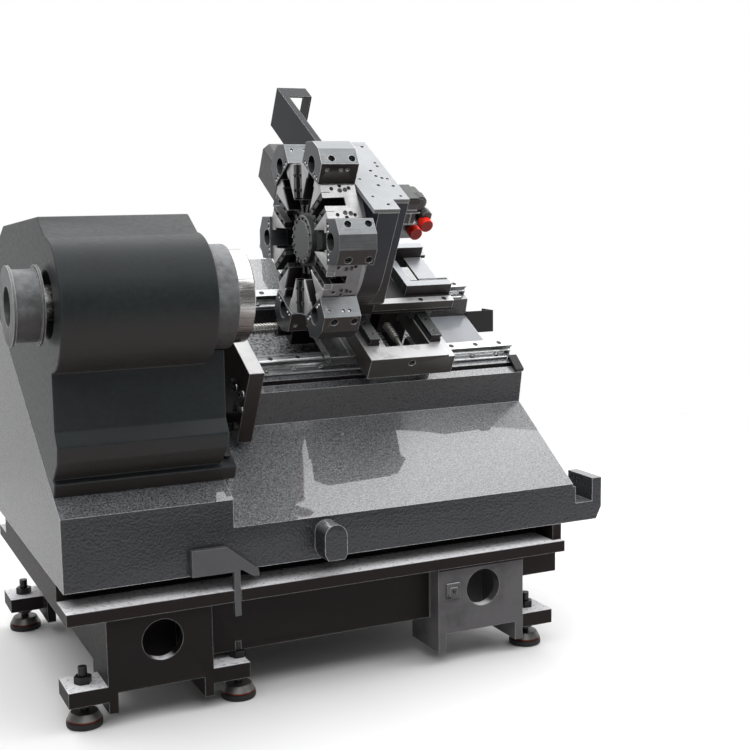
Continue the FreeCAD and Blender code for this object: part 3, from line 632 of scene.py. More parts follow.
LEFT_BRACKET = Finish("left_bracket_look", (0.05, 0.05, 0.054), (0.07, 0.07, 0.075), 0.45, grain=Grain.CAST, scale=90,
                      bump=0.25, depth=0.0008, wear_and_highlight=0.6, edge=grey(0.45), grime=0.2)
FLOOR_PAINT = Finish("floor_paint_look", (0.01, 0.01, 0.011), (0.02, 0.02, 0.022), 0.4, grain=Grain.CAST, scale=120,
                     bump=0.7, depth=0.0015, dust_and_light=1.0, dust_and_light_colour=(0.5, 0.51, 0.53), dust_and_light_level=0.3, dust_and_light_scale=110)
DECK_PAINT = Finish("deck_paint_look", (0.16, 0.17, 0.19), (0.22, 0.235, 0.26), 0.35, scale=20, bump=0.1, wear_and_highlight=0.4,
                    grime=0.15, coat=0.4)
HEAD_PAINT = Finish("head_paint_look", (0.012, 0.015, 0.016), (0.022, 0.027, 0.028), 0.45, grain=Grain.CAST, scale=80,
                    bump=0.3, depth=0.001, wear_and_highlight=0.5, edge=(0.4, 0.42, 0.42), grime=0.4, specular=0.2)
TURRET_PAINT = Finish("turret_paint_look", (0.017, 0.02, 0.03), (0.028, 0.032, 0.046), 0.4, grain=Grain.CAST,
                      scale=100, bump=0.25, depth=0.0008, wear_and_highlight=0.6, specular=0.18, underside_shade=0.3, zones=(
                          # Painted shade: the housing turns brown below 1.2 m, fully so below 1.08 m.
                          Zone((0.026, 0.019, 0.018), (0, 0, -1), -1.2, -1.08),
                          Zone((0.34, 0.35, 0.36), (-1, 0, 0), -DRUM_EDGE, -DRUM_EDGE + 0.0005)))
GROUND = Finish("ground_steel_look", (0.42, 0.43, 0.44), (0.66, 0.67, 0.68), 0.3, 0.85, Grain.GROUND, 500, 0.08,
                wear_and_highlight=0.3, edge=grey(0.95), grime=0.4, grime_scale=14)
PLATE = Finish("plate_steel_look", (0.03, 0.022, 0.02), (0.055, 0.042, 0.038), 0.42, 0.3, Grain.GROUND, 350, 0.12,
               wear_and_highlight=1.0, edge=grey(0.8), specular=0.25, zones=(
                   Zone(grey(0.75), (0, -0.5, 0.866), 0.749, 0.75),))
BLACK = Finish("black_steel_look", (0.01, 0.01, 0.011), (0.025, 0.025, 0.027), 0.35, 0.6, Grain.SMOOTH, 90, 0.1,
               wear_and_highlight=0.5, wear_and_highlight_width=0.001)
BRIGHT = Finish("bright_screw_look", grey(0.5), grey(0.7), 0.3, 1.0, Grain.SMOOTH, 90, 0.1)
RUBBER = Finish("rubber_look", grey(0.006), grey(0.012), 0.7, scale=120)
PAD = Finish("pad_steel_look", grey(0.12), (0.25, 0.24, 0.23), 0.4, 0.8, Grain.SMOOTH, 60, 0.2, grime=0.5,
             zones=(Zone((0.12, 0.02, 0.012), (0, 0, -1), -0.023, -0.0215),))
MOTOR = Finish("motor_look", (0.01, 0.01, 0.011), (0.02, 0.02, 0.022), 0.4, wear_and_highlight=0.3)
RAW = Finish("raw_casting_look", (0.07, 0.072, 0.075), (0.22, 0.225, 0.23), 0.5, 0.2, Grain.CAST, 55, 0.9, 0.002,
             wear_and_highlight=0.4, edge=grey(0.8), grime=0.5, grime_scale=12, zones=(
                 # Painted shade: darker below 1.12 m, fully so below 0.98 m.
                 Zone((0.03, 0.03, 0.032), (0, 0, -1), -1.12, -0.98),))
TURNED = Finish("turned_steel_look", (0.55, 0.54, 0.53), (0.8, 0.79, 0.77), 0.25, 1.0, Grain.GROUND, 400, 0.1,
                # Painted shade: the turned steel turns darker and pinkish below 1.09 m, fully so below 1.0 m.
                wear_and_highlight=0.2, grime=0.2, zones=(Zone((0.42, 0.31, 0.29), (0, 0, -1), -1.09, -1.0),))
IRON = Finish("machined_iron_look", (0.07, 0.064, 0.06), (0.15, 0.14, 0.132), 0.4, 0.4, Grain.GROUND, 300, 0.15,
              wear_and_highlight=1.0, edge=grey(0.95), grime=0.45, dust_and_light=1.0, dust_and_light_cover=0.7, dust_and_light_colour=(0.55, 0.55, 0.56),
              dust_and_light_scale=9, dust_and_light_level=0.35)
SLIDE_IRON = Finish("slide_iron_look", (0.02, 0.02, 0.021), (0.04, 0.04, 0.042), 0.4, 0.2, Grain.GROUND, 200, 0.15,
                    wear_and_highlight=1.0, wear_and_highlight_width=0.002, edge=grey(0.8), specular=0.15)
FRAME_IRON = Finish("frame_iron_look", (0.02, 0.02, 0.021), (0.04, 0.04, 0.042), 0.35, 0.5, Grain.GROUND, 200, 0.15,
                    wear_and_highlight=1.0, wear_and_highlight_width=0.002, edge=grey(0.85), dust_and_light=1.0, dust_and_light_scale=12, dust_and_light_level=0.5,
                    dust_and_light_cover=0.75, dust_and_light_colour=(0.38, 0.39, 0.41))
SHEET = Finish("trough_steel_look", (0.2, 0.205, 0.205), (0.34, 0.345, 0.345), 0.3, 0.8, Grain.SMOOTH, 30, 0.1,
               wear_and_highlight=0.8, edge=grey(0.9), grime=0.7, grime_colour=(0.03, 0.025, 0.018))
LID = Finish("lid_paint_look", (0.27, 0.285, 0.3), (0.37, 0.38, 0.395), 0.45, scale=30, bump=0.1, wear_and_highlight=0.3,
             edge=grey(0.85), grime=0.1)
BRACKET = Finish("bracket_paint_look", (0.01, 0.011, 0.015), (0.016, 0.018, 0.023), 0.4, grain=Grain.CAST, scale=140,
                 bump=0.15, wear_and_highlight=0.7, edge=grey(0.5), specular=0.1)
UNIT = Finish("rear_unit_look", (0.024, 0.027, 0.025), (0.06, 0.065, 0.06), 0.5, grain=Grain.CAST, scale=120, bump=0.5,
              depth=0.0012, wear_and_highlight=0.6)
RED = Finish("red_cap_look", (0.95, 0.02, 0.01), (1.0, 0.04, 0.018), 0.5, scale=20, bump=0.05, grime=0.1, specular=0.2)
DISC = Finish("disc_steel_look", (0.42, 0.42, 0.43), (0.62, 0.61, 0.61), 0.36, 0.5, Grain.GROUND, 300, 0.12,
              wear_and_highlight=0.3, edge=grey(0.95), grime=0.25, grime_scale=14, zones=(
                  # Painted shade: surfaces more than 3 mm behind the disc face, within 212 mm of the hub axis, are
                  # near black.
                  Zone(RECESS_SHADE, (1, 0, 0), DISC_FACE + 0.003, DISC_FACE + 0.006, tuple(HUB), 0.212),))
HOLDER = Finish("holder_steel_look", (0.13, 0.138, 0.145), (0.25, 0.26, 0.27), 0.35, 0.7, Grain.GROUND, 260, 0.1,
                wear_and_highlight=0.7, edge=grey(0.85), grime=0.25, grime_scale=10, underside_shade=0.95,
                underside_shade_colour=(0.014, 0.008, 0.007), zones=(
                    # Painted shade: the front faces of the holders are darker.
                    Zone((0.07, 0.074, 0.08), (-1, 0, 0), -HOLDER_FACE - 0.0008, -HOLDER_FACE - 0.0006),))
COVER = Finish("cover_steel_look", (0.085, 0.09, 0.088), (0.14, 0.146, 0.143), 0.5, 0.5, Grain.SMOOTH, 80, 0.15,
               wear_and_highlight=0.6)
CLAMP = Finish("clamp_steel_look", (0.03, 0.031, 0.032), (0.07, 0.072, 0.074), 0.4, 0.7, Grain.SMOOTH, 60, 0.15,
               wear_and_highlight=0.8, wear_and_highlight_width=0.0015)
SCREW = Finish("ball_screw_look", (0.4, 0.39, 0.36), (0.62, 0.61, 0.58), 0.3, 0.8, Grain.SMOOTH, 60, 0.05, wear_and_highlight=1.0,
               wear_and_highlight_width=0.0015, edge=(0.95, 0.95, 0.92), grime_scale=30)
ALLOY = Finish("coupling_look", (0.5, 0.5, 0.51), (0.66, 0.66, 0.67), 0.35, 0.95, Grain.GROUND, 200, 0.1)

NODE_FINISH = {node: finish for finish, nodes in (
    (BED_PAINT, "bed_casting"), (BASE_PAINT, "base_casting z_screw_bearing z_screw_support"),
    (HEAD_PAINT, "headstock_casting"), (PLATE, "bed_end_plate"), (LEFT_BRACKET, "front_left_bracket"),
    (GROUND, "lower_rail upper_rail lower_strip upper_strip spindle_bearings z_carriage_blocks x_carriage_blocks "
             "turret_shaft"),
    (BLACK, "cap_screws strip_screws way_end_block levelling_screws levelling_nuts z_ball_nut x_ball_nut "
            "port_fittings hub_bolts"),
    (RUBBER, "rear_tray foot_rubbers"), (PAD, "foot_pads"), (MOTOR, "z_motor x_motor"),
    (RAW, "nose_ring spindle_pulley"), (TURNED, "spindle"), (SCREW, "z_ball_screw x_ball_screw"),
    (ALLOY, "z_coupling x_coupling union_block"), (IRON, "saddle saddle_rear_lug"), (SHEET, "saddle_trough"),
    (CLAMP, "x_rail_left x_rail_right slot_clamps"), (TURRET_PAINT, "x_motor_mount turret_housing"),
    (SLIDE_IRON, "cross_slide"), (LID, "turret_lid"), (BRACKET, "sheet_bracket"), (UNIT, "turret_motor"),
    (RED, "port_caps"), (DISC, "turret_disc"), (COVER, "hub_cover"),
    (HOLDER, " ".join("boring_holder_%d" % number for number in range(1, 7)))) for node in nodes.split()}
NODE_SLOT = {row["node"]: row["material_slot"] for row in frame["record"]["subparts"]}


# ---------------------------------------------------------------- workshop

@dataclass
class Workshop:
    """Finishes pieces and puts them on their bodies."""

    effects: Effects = field(default_factory=Effects)

    def put(self, name: str, mesh: Mesh, body: Body, slot: str, finish: Finish,
            replaces: tuple[str, ...] = (), bevel: float = 0.0, crease: float = CREASE) -> None:
        """Make an object of a mesh in millimetres and put it on its body.

        Args:
            name: name of the piece.
            mesh: its mesh in world millimetres.
            body: the CAD body that it rides on.
            slot: the record's material slot; not used.
            finish: the finish that it wears.
            replaces: CAD nodes that it stands for.
            bevel: width of its rounded edges, or 0 for none.
            crease: angle in degrees from which an edge counts as sharp.
        """
        bmesh.ops.scale(mesh, vec=(MM,) * 3, verts=mesh.verts[:])
        data = stored(name, mesh)
        data.shade_smooth()
        data.set_sharp_from_angle(angle=math.radians(crease))
        piece = linked(name, data)
        data.materials.append(finish.material(self.effects))
        if bevel:
            rounding = piece.modifiers.new("rounding", "BEVEL")
            rounding.width = bevel * MM
            rounding.segments = 2
            rounding.limit_method = "ANGLE"
            rounding.angle_limit = math.radians(crease)
            rounding.harden_normals = True
            rounding.miter_outer = "MITER_ARC"
        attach(piece, body.value)
        if replaces:
            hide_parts(*replaces)
        LOG.info("%s rides on %s", name, body.value)

    def paint_rest(self) -> None:
        """Give every CAD node its finish, also where a copy stands in for it."""
        for node, finish in NODE_FINISH.items():
            slots = frame["nodes"][node].data.materials
            slots.clear()
            slots.append(finish.material(self.effects))


# ---------------------------------------------------------------- sub-assemblies

@dataclass
class Assembly:
    """Sub-assembly whose pieces ride on one body, unless they name another."""

    shop: Workshop
    body: Body = Body.BED

    def put(self, name: str, mesh: Mesh, finish: Finish, slot: str = "black_steel", bevel: float = 0.0,
            replaces: tuple[str, ...] = (), body: Body | None = None) -> None:
        """Put a mesh on the body, as Workshop.put does."""
        self.shop.put(name, mesh, body or self.body, slot, finish, replaces, bevel)

    def dress(self, node: str, bevel: float, holes: list[Mesh] | None = None, crease: float = CREASE,
              body: Body | None = None) -> None:
        """Stand a rounded copy of a CAD node in for it.

        Args:
            node: the CAD node.
            bevel: width of its rounded edges.
            holes: closed meshes to take out of it, if any.
            crease: angle in degrees from which an edge counts as sharp.
            body: the body that it rides on, if it isn't the sub-assembly's own.
        """
        mesh = node_mesh(node)
        if holes:
            mesh = carved(mesh, holes)
        self.shop.put(node + "_finished", mesh, body or self.body, NODE_SLOT[node], NODE_FINISH[node], (node,), bevel,
                      crease)

    def dress_all(self, **bevels: float) -> None:
        """Dress CAD nodes, each with its own width of rounded edge."""
        for node, bevel in bevels.items():
            self.dress(node, bevel)

    def plugged_rail(self, node: str, spots: list[tuple], radius: float, end_radius: float) -> None:
        """Dress a rail with a sunk plug over each of its screws.

        Args:
            node: the CAD rail.
            spots: place of each plug on the top of the rail, in the slope frame.
            radius: radius of its hole.
            end_radius: radius of the plug's top.
        """
        holes = [placed(bar("z", (x, s, n - HOLE_DEPTH), radius, HOLE_DEPTH + PROUD, 24), SLOPE) for x, s, n in spots]
        self.dress(node, 0.8, holes)
        plugs = [placed(bar("z", (x, s, n - PLUG_DEPTH), radius - 0.5, PLUG_HEIGHT, 24, end_radius), SLOPE)
                 for x, s, n in spots]
        self.put(node + "_plugs", joined(plugs), BLACK)


@dataclass
class Bed(Assembly):
    """Bed, base, guide rails and feet."""

    screw_pitch: float = 87.0
    screw_count: int = 11
    rail_margin: float = 40.0
    strip_margin: float = 35.0
    screw_seat: float = 9.0
    plug_radius: float = 8.5
    plug_end: float = 7.3
    plate_spots: Spots = ((-139.8, 30), (-197, 47.4), (-204.1, 3.5))
    lug_spots: tuple[Place, ...] = ((-284.5, -73, 223), (-301, -70, 206))
    floor_low: float = -93.0
    floor_ends: Place = (-808, -120, 128)
    valley: tuple[float, float] = (38, 328)

    def build(self) -> None:
        """Build the bed from the castings down to the feet."""
        self.dress_all(bed_casting=3.0, base_casting=4.0, bed_end_plate=2.0, front_left_bracket=2.0,
                       way_end_block=1.5, rear_tray=1.5, z_screw_bearing=3.0, z_screw_support=3.0, z_motor=4.0,
                       foot_rubbers=5.0, foot_pads=2.0, levelling_nuts=1.5)
        self.rails()
        self.strips()
        self.plate_screws()
        self.leg_block()
        self.floor()
        self.tray()

    def rails(self) -> None:
        """Rails with the sunk plugs of their screws."""
        for node in ("lower_rail", "upper_rail"):
            low, high = extent(node, SLOPE)
            middle = (low.y + high.y) / 2
            spots = [(high.x - self.rail_margin - step * self.screw_pitch, middle, high.z)
                     for step in range(self.screw_count)]
            self.plugged_rail(node, spots, self.plug_radius, self.plug_end)

    def strips(self) -> None:
        """Strips beside the rails with their socket screws."""
        heads = []
        for node in ("lower_strip", "upper_strip"):
            low, high = extent(node, SLOPE)
            across = (low.y + high.y) / 2
            start = high.x - self.strip_margin
            heads += [SLOPE @ moved(start - step * self.screw_pitch, across, low.z + self.screw_seat)
                      for step in range(self.screw_count)]
            self.dress(node, 0.8)
        self.put("strip_screw_heads", screws(heads, 7.5, 6), BRIGHT, replaces=("strip_screws",))

    def plate_screws(self) -> None:
        """Socket screws with washers on the end plate and on the foot of the headstock."""
        face = extent("bed_end_plate", SLOPE)[0].x
        spots = [SLOPE @ moved(face, s, n) @ LEFTWARD for s, n in self.plate_spots]
        heads = screws([spot @ moved(0, 0, 2) for spot in spots], 9, 9)
        self.put("plate_screw_heads", heads, BLACK)
        washers = [placed(bar("z", (0, 0, -0.5), 12, 2.5, 28, 11.4), spot) for spot in spots]
        self.put("plate_screw_washers", joined(washers), BRIGHT)

    def floor(self) -> None:
        """Rough floor of the bed between its ways, and the smoother deck at its right."""
        front, rear = self.valley
        first, middle, last = self.floor_ends
        for name, left, right, top, finish in (("bed_floor", first, middle, -91.2, FLOOR_PAINT),
                                               ("bed_deck", middle, last, -91, DECK_PAINT)):
            skin = block((left, front, self.floor_low), (right, rear, top))
            self.put(name, placed(skin, SLOPE), finish, "bed_paint")

    def tray(self) -> None:
        """Front sheet that closes the rear tray."""
        low, high = extent("rear_tray")
        sheet = block((low.x + 0.5, low.y - 1.5, low.z + 0.5), (high.x - 0.5, low.y + 2, high.z - 0.5))
        self.put("rear_tray_front", sheet, RUBBER, bevel=0.6)

    def leg_block(self) -> None:
        """Small flanged block with two screws low on the front right leg."""
        lug = blocks(((-307, -70, 200), (-262, -61, 246)), ((-296, -73, 212), (-273, -61, 234)))
        self.put("leg_lug", lug, BASE_PAINT, "base_paint", 2)
        heads = [moved(*spot) @ turned(90) for spot in self.lug_spots]
        self.put("leg_lug_screws", screws(heads, 5, 5), BLACK)


@dataclass
class Headstock(Assembly):
    """Headstock with its nose ring and the lined rim of the spindle disc."""

    rim_lines: int = 30
    line_width: float = 0.8

    def build(self) -> None:
        """Build the headstock and the spindle."""
        self.dress_all(headstock_casting=4.0, nose_ring=2.5, cap_screws=1.0)
        low, high = extent("spindle", SLOPE)
        middle = hub_of("spindle")
        radius = (high.z - low.z) / 2
        half = self.line_width / 2
        grooves = [placed(block((high.x - 44, -half, radius - 0.8), (high.x - 3, half, radius + 2)),
                          middle @ turned(360 * line / self.rim_lines)) for line in range(self.rim_lines)]
        self.dress("spindle", 0.8, grooves, body=Body.SPINDLE)


@dataclass
class Saddle(Assembly):
    """Saddle with its rails, ball screws and rear motor."""

    body: Body = Body.SADDLE
    thread_pitch: float = 10.0
    plug_pitch: float = 60.0
    plug_start: float = 25.0
    rail_spare: float = 40.0
    plain_ends: tuple[float, float] = (105, 50)
    rail_starts: tuple[float, ...] = (0, 343.6)

    def build(self) -> None:
        """Build the saddle, its rails and both screws."""
        self.dress_all(saddle=2.0, saddle_rear_lug=1.5, z_carriage_blocks=1.5, z_ball_nut=2.0, x_motor_mount=2.0,
                       x_motor=3.0, saddle_trough=1.0)
        self.rails()
        self.threads()
        self.seals()

    def rails(self) -> None:
        """Rails of the slide with their sunk plugs."""
        for node in ("x_rail_left", "x_rail_right"):
            low, high = extent(node, SLOPE)
            middle = (low.x + high.x) / 2
            count = int((high.y - low.y - self.rail_spare) / self.plug_pitch) + 1
            spots = [(middle, low.y + self.plug_start + step * self.plug_pitch, high.z) for step in range(count)]
            self.plugged_rail(node, spots, 7, 6)

    def threads(self) -> None:
        """Ball screws with their threads between two plain ends."""
        for node, body, aim in (("z_ball_screw", Body.LONG_SCREW, UPRIGHT),
                                ("x_ball_screw", Body.SHORT_SCREW, turned(90, "Z"))):
            low, high = extent(node, SLOPE)
            size = high - low
            half = max(size.x, size.y) / 2
            crest = min(size) / 2
            shank, root = crest - 5, crest - 3
            left, right = -half + self.plain_ends[0], half - self.plain_ends[1]
            core = [(-half, 0), (-half, shank), (left, shank), (left, root), (right, root), (right, shank),
                    (half, shank), (half, 0)]
            screw = joined([lathe(core, 32), helix(left, right, root - 0.2, crest + 0.2, self.thread_pitch)])
            self.put(node + "_thread", placed(screw, SLOPE @ moved(*(low + high) / 2) @ aim), SCREW, "screw_steel",
                     replaces=(node,), body=body)

    def seals(self) -> None:
        """Dark end seals on the carriage blocks of the bed rails."""
        low, high = extent("z_carriage_blocks", SLOPE)
        ends = blocks(*(((left, start - 16, -9), (left + 5, start + 51, low.z + 30)) for start in self.rail_starts
                        for left in (low.x - 5, low.x + 70, high.x - 75, high.x)))
        rails = [block((low.x - 20, start - 1, -40), (high.x + 20, start + 36, 0.4)) for start in self.rail_starts]
        self.put("carriage_seals", placed(carved(ends, rails), SLOPE), BLACK, "black_plastic")


@dataclass
class Slide(Assembly):
    """Cross slide with the turret housing and what stands on it."""

    body: Body = Body.SLIDE
    slot: tuple[tuple, tuple] = ((-228.6, 118.5, 152), (-196.4, 246, 210))
    bar_screws: tuple[float, ...] = (-345, -208, -127)
    lid_holes: Spots = (
        (-509, 266), (-498, 248), (-449, 251), (-417, 265), (-417, 148), (-449, 122), (-445, 91), (-431, 80),
        (-459, 39), (-415, 34), (-473, -66))
    bell: Spots = (
        (0, 0), (0, 17), (5, 24), (30, 25.5), (34, 22), (70, 21), (74, 17), (74, 0))

    def build(self) -> None:
        """Build the slide, the housing and its rear unit."""
        self.dress("cross_slide", 1.5, [placed(block(*self.slot), SLOPE)])
        self.dress_all(x_carriage_blocks=1.5, x_ball_nut=2.0, turret_housing=3.0, sheet_bracket=0.8,
                       union_block=1.5, port_fittings=1.0, port_caps=2.5)
        self.lid()
        self.front_bar()
        self.unit()

    def lid(self) -> None:
        """Lid with its sunk screws."""
        top = extent("turret_lid", SLOPE)[1].z
        self.dress("turret_lid", 1.0, [placed(bar("z", (x, s, top - 7), 5.5, 9, 20), SLOPE)
                                       for x, s in self.lid_holes])
        heads = [SLOPE @ moved(x, s, top - 8) for x, s in self.lid_holes]
        self.put("lid_screws", screws(heads, 4.8, 5), BLACK)

    def front_bar(self) -> None:
        """Bright bar with three sunk screws along the front of the slide, and the frame behind it."""
        low, high = extent("cross_slide", SLOPE)
        spots = [(x, low.y + 13) for x in self.bar_screws]
        solid = block((-372, low.y - 0.6, 124), (high.x + 0.5, low.y + 26, 150.8))
        holes = [bar("z", (x, s, 143), 8.5, 10, 24) for x, s in spots]
        self.put("slide_bar", placed(carved(solid, holes), SLOPE), IRON, "slide_iron", 1)
        heads = [SLOPE @ moved(x, s, 142.5) for x, s in spots]
        self.put("slide_bar_screws", screws(heads, 7.5, 6), BLACK)
        bars = blocks(((-253, 92, 149), (high.x + 0.6, 119, 186)), ((-253, 118, 149), (-229, 330, 186)),
                      ((-253, 300, 149), (-88, 332, 160)), ((-196, 118, 176), (-134, 250, 185)),
                      ((-228, 248.5, 150), (-136, 276, 224)))
        self.put("slide_frame", placed(bars, SLOPE), FRAME_IRON, "slide_iron", 1)

    def unit(self) -> None:
        """Rear unit: ribbed box, round bell, nut and the bright plate above the ports."""
        box = blocks(((-397, 100, 300), (-350, 280, 488)), ((-351, 101, 400), (-281, 182, 489)),
                     ((-352, 99, 446), (-279, 184, 449)))
        plate = blocks(((-330, 99, 436), (-268, 104, 440)), ((-316, 100, 398), (-262, 140, 403)),
                       ((-300, 99, 403), (-294, 104, 437)))
        bell = placed(lathe(list(self.bell)), moved(-275, 102, 467) @ turned(90, "Z"))
        for name, mesh, finish, slot, bevel, replaces in (
                ("rear_unit", box, UNIT, "unit_grey", 3, ("turret_motor",)),
                ("rear_unit_band", block((-352, 98, 469), (-278, 184, 484)), BLACK, "black_plastic", 1, ()),
                ("rear_unit_bell", bell, UNIT, "unit_grey", 0, ()),
                ("rear_unit_plate", plate, GROUND, "plate_steel", 1, ()),
                ("rear_unit_nut", bar("y", (-247, 92, 430), 18, 30, 6), UNIT, "unit_grey", 1.5, ())):
            self.put(name, placed(mesh, SLOPE), finish, slot, bevel, replaces)


@dataclass
class Turret(Assembly):
    """Indexing disc with its six holders."""

    body: Body = Body.TURRET
    hub: Matrix = field(default_factory=lambda: hub_of("hub_cover"))
    stations: int = 6
    hub_screws: int = 16
    rim_radius: float = 215.0
    channel: float = 30.0
    channel_depth: float = 45.0
    mouth_depth: float = 24.6
    holder_crease: float = 28.0
    rim_spots: Spots = ((32, 41), (84, 42), (32, -41), (84, -42), (58, 50), (58, -50))
    ring_spots: Spots = ((56, 35), (72, 37), (56, -35), (72, -37))

    def build(self) -> None:
        """Build the disc, the cover, the clamps and the holders."""
        self.disc()
        self.cover()
        self.clamps()
        self.holders()

    def disc(self) -> None:
        """Disc with twelve channels round its neck and sunk screws in its rim."""
        face = extent("turret_disc", SLOPE)[0].x
        cuts = [placed(bar("x", (face - PROUD, 0, 0), 112, 20 + PROUD, 64), self.hub)]
        for step in range(2 * self.stations):
            place = self.hub @ turned(30 * step)
            cuts.append(placed(block((face - PROUD, 98, -self.channel),
                                     (face + self.channel_depth, 186, self.channel)), place))
            if not step % 2:
                mouth = block((face - PROUD, 180, -self.channel), (face + self.mouth_depth, 240, self.channel))
                cuts.append(placed(mouth, place))
        sunk, rings = [], []
        for station in range(self.stations):
            rim = self.hub @ turned(60 * station) @ moved(0, self.rim_radius, 0) @ turned(-90)
            for along, side in self.rim_spots:
                spot = rim @ moved(face + along, side, 0)
                cuts.append(placed(bar("z", (0, 0, -6), 5.5, 8, 16), spot))
                sunk.append(spot @ moved(0, 0, -7))
            rings += [rim @ moved(face + along, side, -0.5) for along, side in self.ring_spots]
        self.dress("turret_disc", 1, cuts)
        self.put("rim_screws", screws(sunk, 4.8, 4), BLACK)
        self.put("rim_rings", screws(rings, 7, 2.2), CLAMP)
        neck = lathe([(face + 26, 0), (face + 26, 84), (face + 30, 98), (face + 45, 104), (face + 45, 0)], 64)
        self.put("disc_neck", placed(neck, self.hub), COVER, "disc_steel")

    def cover(self) -> None:
        """Hub cover with its ring of screws."""
        low, high = extent("hub_cover", SLOPE)
        radius = (high.z - low.z) / 2
        outline = [(low.x, 0), (low.x, radius - 16), (low.x + 1.2, radius - 15), (low.x + 1.2, radius - 2),
                   (low.x + 3, radius), (high.x, radius), (high.x, 0)]
        self.put("hub_cover_finished", placed(lathe(outline, 72), self.hub), COVER, "cover_steel",
                 replaces=("hub_cover",))
        heads = [self.hub @ turned(360 * step / self.hub_screws) @ moved(low.x + 1, radius - 8, 0) @ LEFTWARD
                 for step in range(self.hub_screws)]
        self.put("hub_bolts_finished", screws(heads, 4.6, 4.5, 16), CLAMP, replaces=("hub_bolts",))

    def clamps(self) -> None:
        """Dark clamp bars in the channels of the tool slots, each with two screws."""
        face = extent("turret_disc", SLOPE)[0].x
        bars, ends, heads = [], [], []
        for station in range(self.stations):
            place = self.hub @ turned(60 * station)
            for side in (-1, 1):
                inner, outer = sorted((side * 12.8, side * 28.5))
                bars.append(placed(block((face + 1, 118, inner), (face + 24, 213, outer)), place))
                ends.append(placed(block((face + 0.5, 212.5, inner), (face + 24.5, 214.5, outer)), place))
                heads += [place @ moved(face + 1, reach, side * 20.6) @ LEFTWARD for reach in (140, 182)]
        self.put("slot_clamps_finished", joined(bars), CLAMP, "clamp_steel", 1.5, ("slot_clamps",))
        self.put("slot_clamp_ends", joined(ends), DISC, "clamp_steel")
        self.put("slot_clamp_screws", screws(heads, 5, 4, 16), BLACK)

    def holders(self) -> None:
        """Holders with sunk screws in their chamfers, sides and faces."""
        face = extent("boring_holder_1", self.hub @ turned(30))[0].x
        big, small = [], []
        for number in range(1, self.stations + 1):
            place = self.hub @ turned(60 * number - 30)
            holes = []
            for side in (-1, 1):
                chamfer = moved(face, 286.6, side * 48.6) @ turned(-90 + side * 30.8)
                flank = moved(face, 259, side * 63) @ turned(90 - 90 * side)
                for along in (33, 94):
                    aim = place @ moved(along, 0, 0) @ chamfer
                    holes.append(placed(bar("z", (0, 0, -13), 10, 16, 28), aim))
                    big.append(aim @ moved(0, 0, -13.5))
                for aim, radius, head in (
                        *((moved(along, 0, 0) @ flank, 5, 4.3) for along in (20, 61, 80)),
                        *((moved(face, 226, side * across) @ LEFTWARD, 6, 5.2) for across in (46, 31))):
                    holes.append(placed(bar("z", (0, 0, -5), radius, 7, 20), place @ aim))
                    small.append(placed(socket_screw(head, 4), place @ aim @ moved(0, 0, -5.5)))
            self.dress("boring_holder_%d" % number, 1.2, holes, self.holder_crease)
        self.put("holder_screws", screws(big, 8.4, 7), BLACK)
        self.put("holder_small_screws", joined(small), BRIGHT)


# ---------------------------------------------------------------- studio

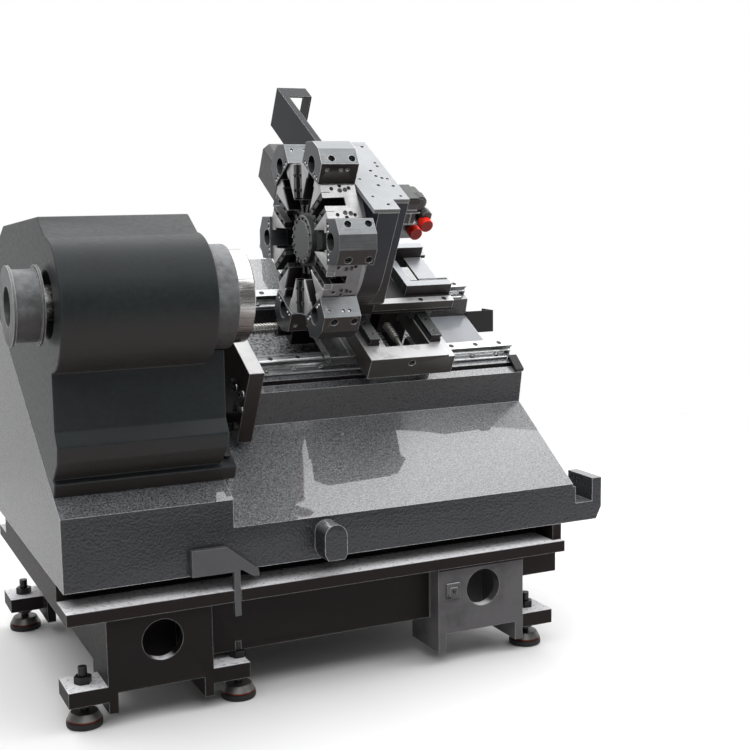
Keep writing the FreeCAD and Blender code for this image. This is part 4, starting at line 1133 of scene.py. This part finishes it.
@dataclass
class Studio:
    """Floor, light and camera."""

    camera_at: Place = (-2.0056, -3.1996, 1.3692)
    turn: float = 25.26
    dip: float = 8.13
    roll: float = 0.74
    lens: float = 61.056
    sensor: float = 36.0
    bright_side: Place = (0.42, 0.9, 0.1)

    def build(self) -> None:
        """Set up the floor, the light and the camera."""
        bpy.context.scene.view_settings.view_transform = "Standard"
        self.floor()
        self.lights()
        self.camera()

    def floor(self) -> None:
        """Lay a plain pale floor."""
        mesh = bmesh.new()
        bmesh.ops.create_grid(mesh, x_segments=1, y_segments=1, size=3)
        floor = linked("floor", stored("floor", mesh))
        paint = bpy.data.materials.new("floor_paint")
        paint.use_nodes = True
        shader = paint.node_tree.nodes["Principled BSDF"].inputs
        shader["Base Color"].default_value = (*grey(0.85), 1)
        shader["Roughness"].default_value = 0.9
        floor.data.materials.append(paint)

    def lights(self) -> None:
        """Hang soft lights over and before the machine, in a pale room."""
        world = bpy.data.worlds.new("room")
        bpy.context.scene.world = world
        world.use_nodes = True
        tree = world.node_tree
        sky = tree.nodes["Background"]
        sky.inputs["Color"].default_value = (1, 1, 1, 1)
        where = node_of(tree, "ShaderNodeTexCoord").outputs["Generated"]
        ahead = maths(tree, "DOT_PRODUCT", where, self.bright_side, kind=VECTOR_MATH)
        fade = ranged(tree, ahead, -0.2, 0.75, To_Min=0.12)
        rays = node_of(tree, "ShaderNodeLightPath")
        feed(tree, sky.inputs["Strength"], maths(tree, "MAXIMUM", fade, rays.outputs["Is Camera Ray"]))
        for name, spot, aim, size, power in (
                ("ceiling", (-0.6, 0.0, 4.5), (-0.6, 0.0, 0.8), 9.0, 520),
                ("front", (-1.5, -4.5, 3.8), (-0.5, 0.0, 0.9), 2.5, 26),
                ("right", (2.5, -1.5, 3.0), (-0.4, 0.2, 1.0), 1.5, 22)):
            light = bpy.data.lights.new(name, "AREA")
            light.size = size
            light.energy = power
            lamp = linked(name, light)
            lamp.location = spot
            lamp.rotation_euler = (Vector(aim) - Vector(spot)).to_track_quat("-Z", "Y").to_euler()

    def camera(self) -> None:
        """Stand the camera where the photograph was taken from."""
        turn, dip, roll = (math.radians(value) for value in (self.turn, self.dip, self.roll))
        ahead = Vector((math.sin(turn) * math.cos(dip), math.cos(turn) * math.cos(dip), -math.sin(dip)))
        level = Vector((math.cos(turn), -math.sin(turn), 0))
        above = level.cross(ahead)
        right = level * math.cos(roll) - above * math.sin(roll)
        upward = right.cross(ahead)
        data = bpy.data.cameras.new("camera")
        data.lens = self.lens
        data.sensor_width = self.sensor
        camera = linked("camera", data)
        axes = Matrix((right, upward, -ahead)).transposed().to_4x4()
        camera.matrix_world = Matrix.Translation(self.camera_at) @ axes
        bpy.context.scene.camera = camera


def main() -> None:
    """Build the whole scene."""
    logging.basicConfig(level=logging.INFO)
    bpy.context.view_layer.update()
    Studio().build()
    shop = Workshop()
    shop.paint_rest()
    for assembly in (Bed, Headstock, Saddle, Slide, Turret):
        assembly(shop).build()


if __name__ == "__main__":
    main()
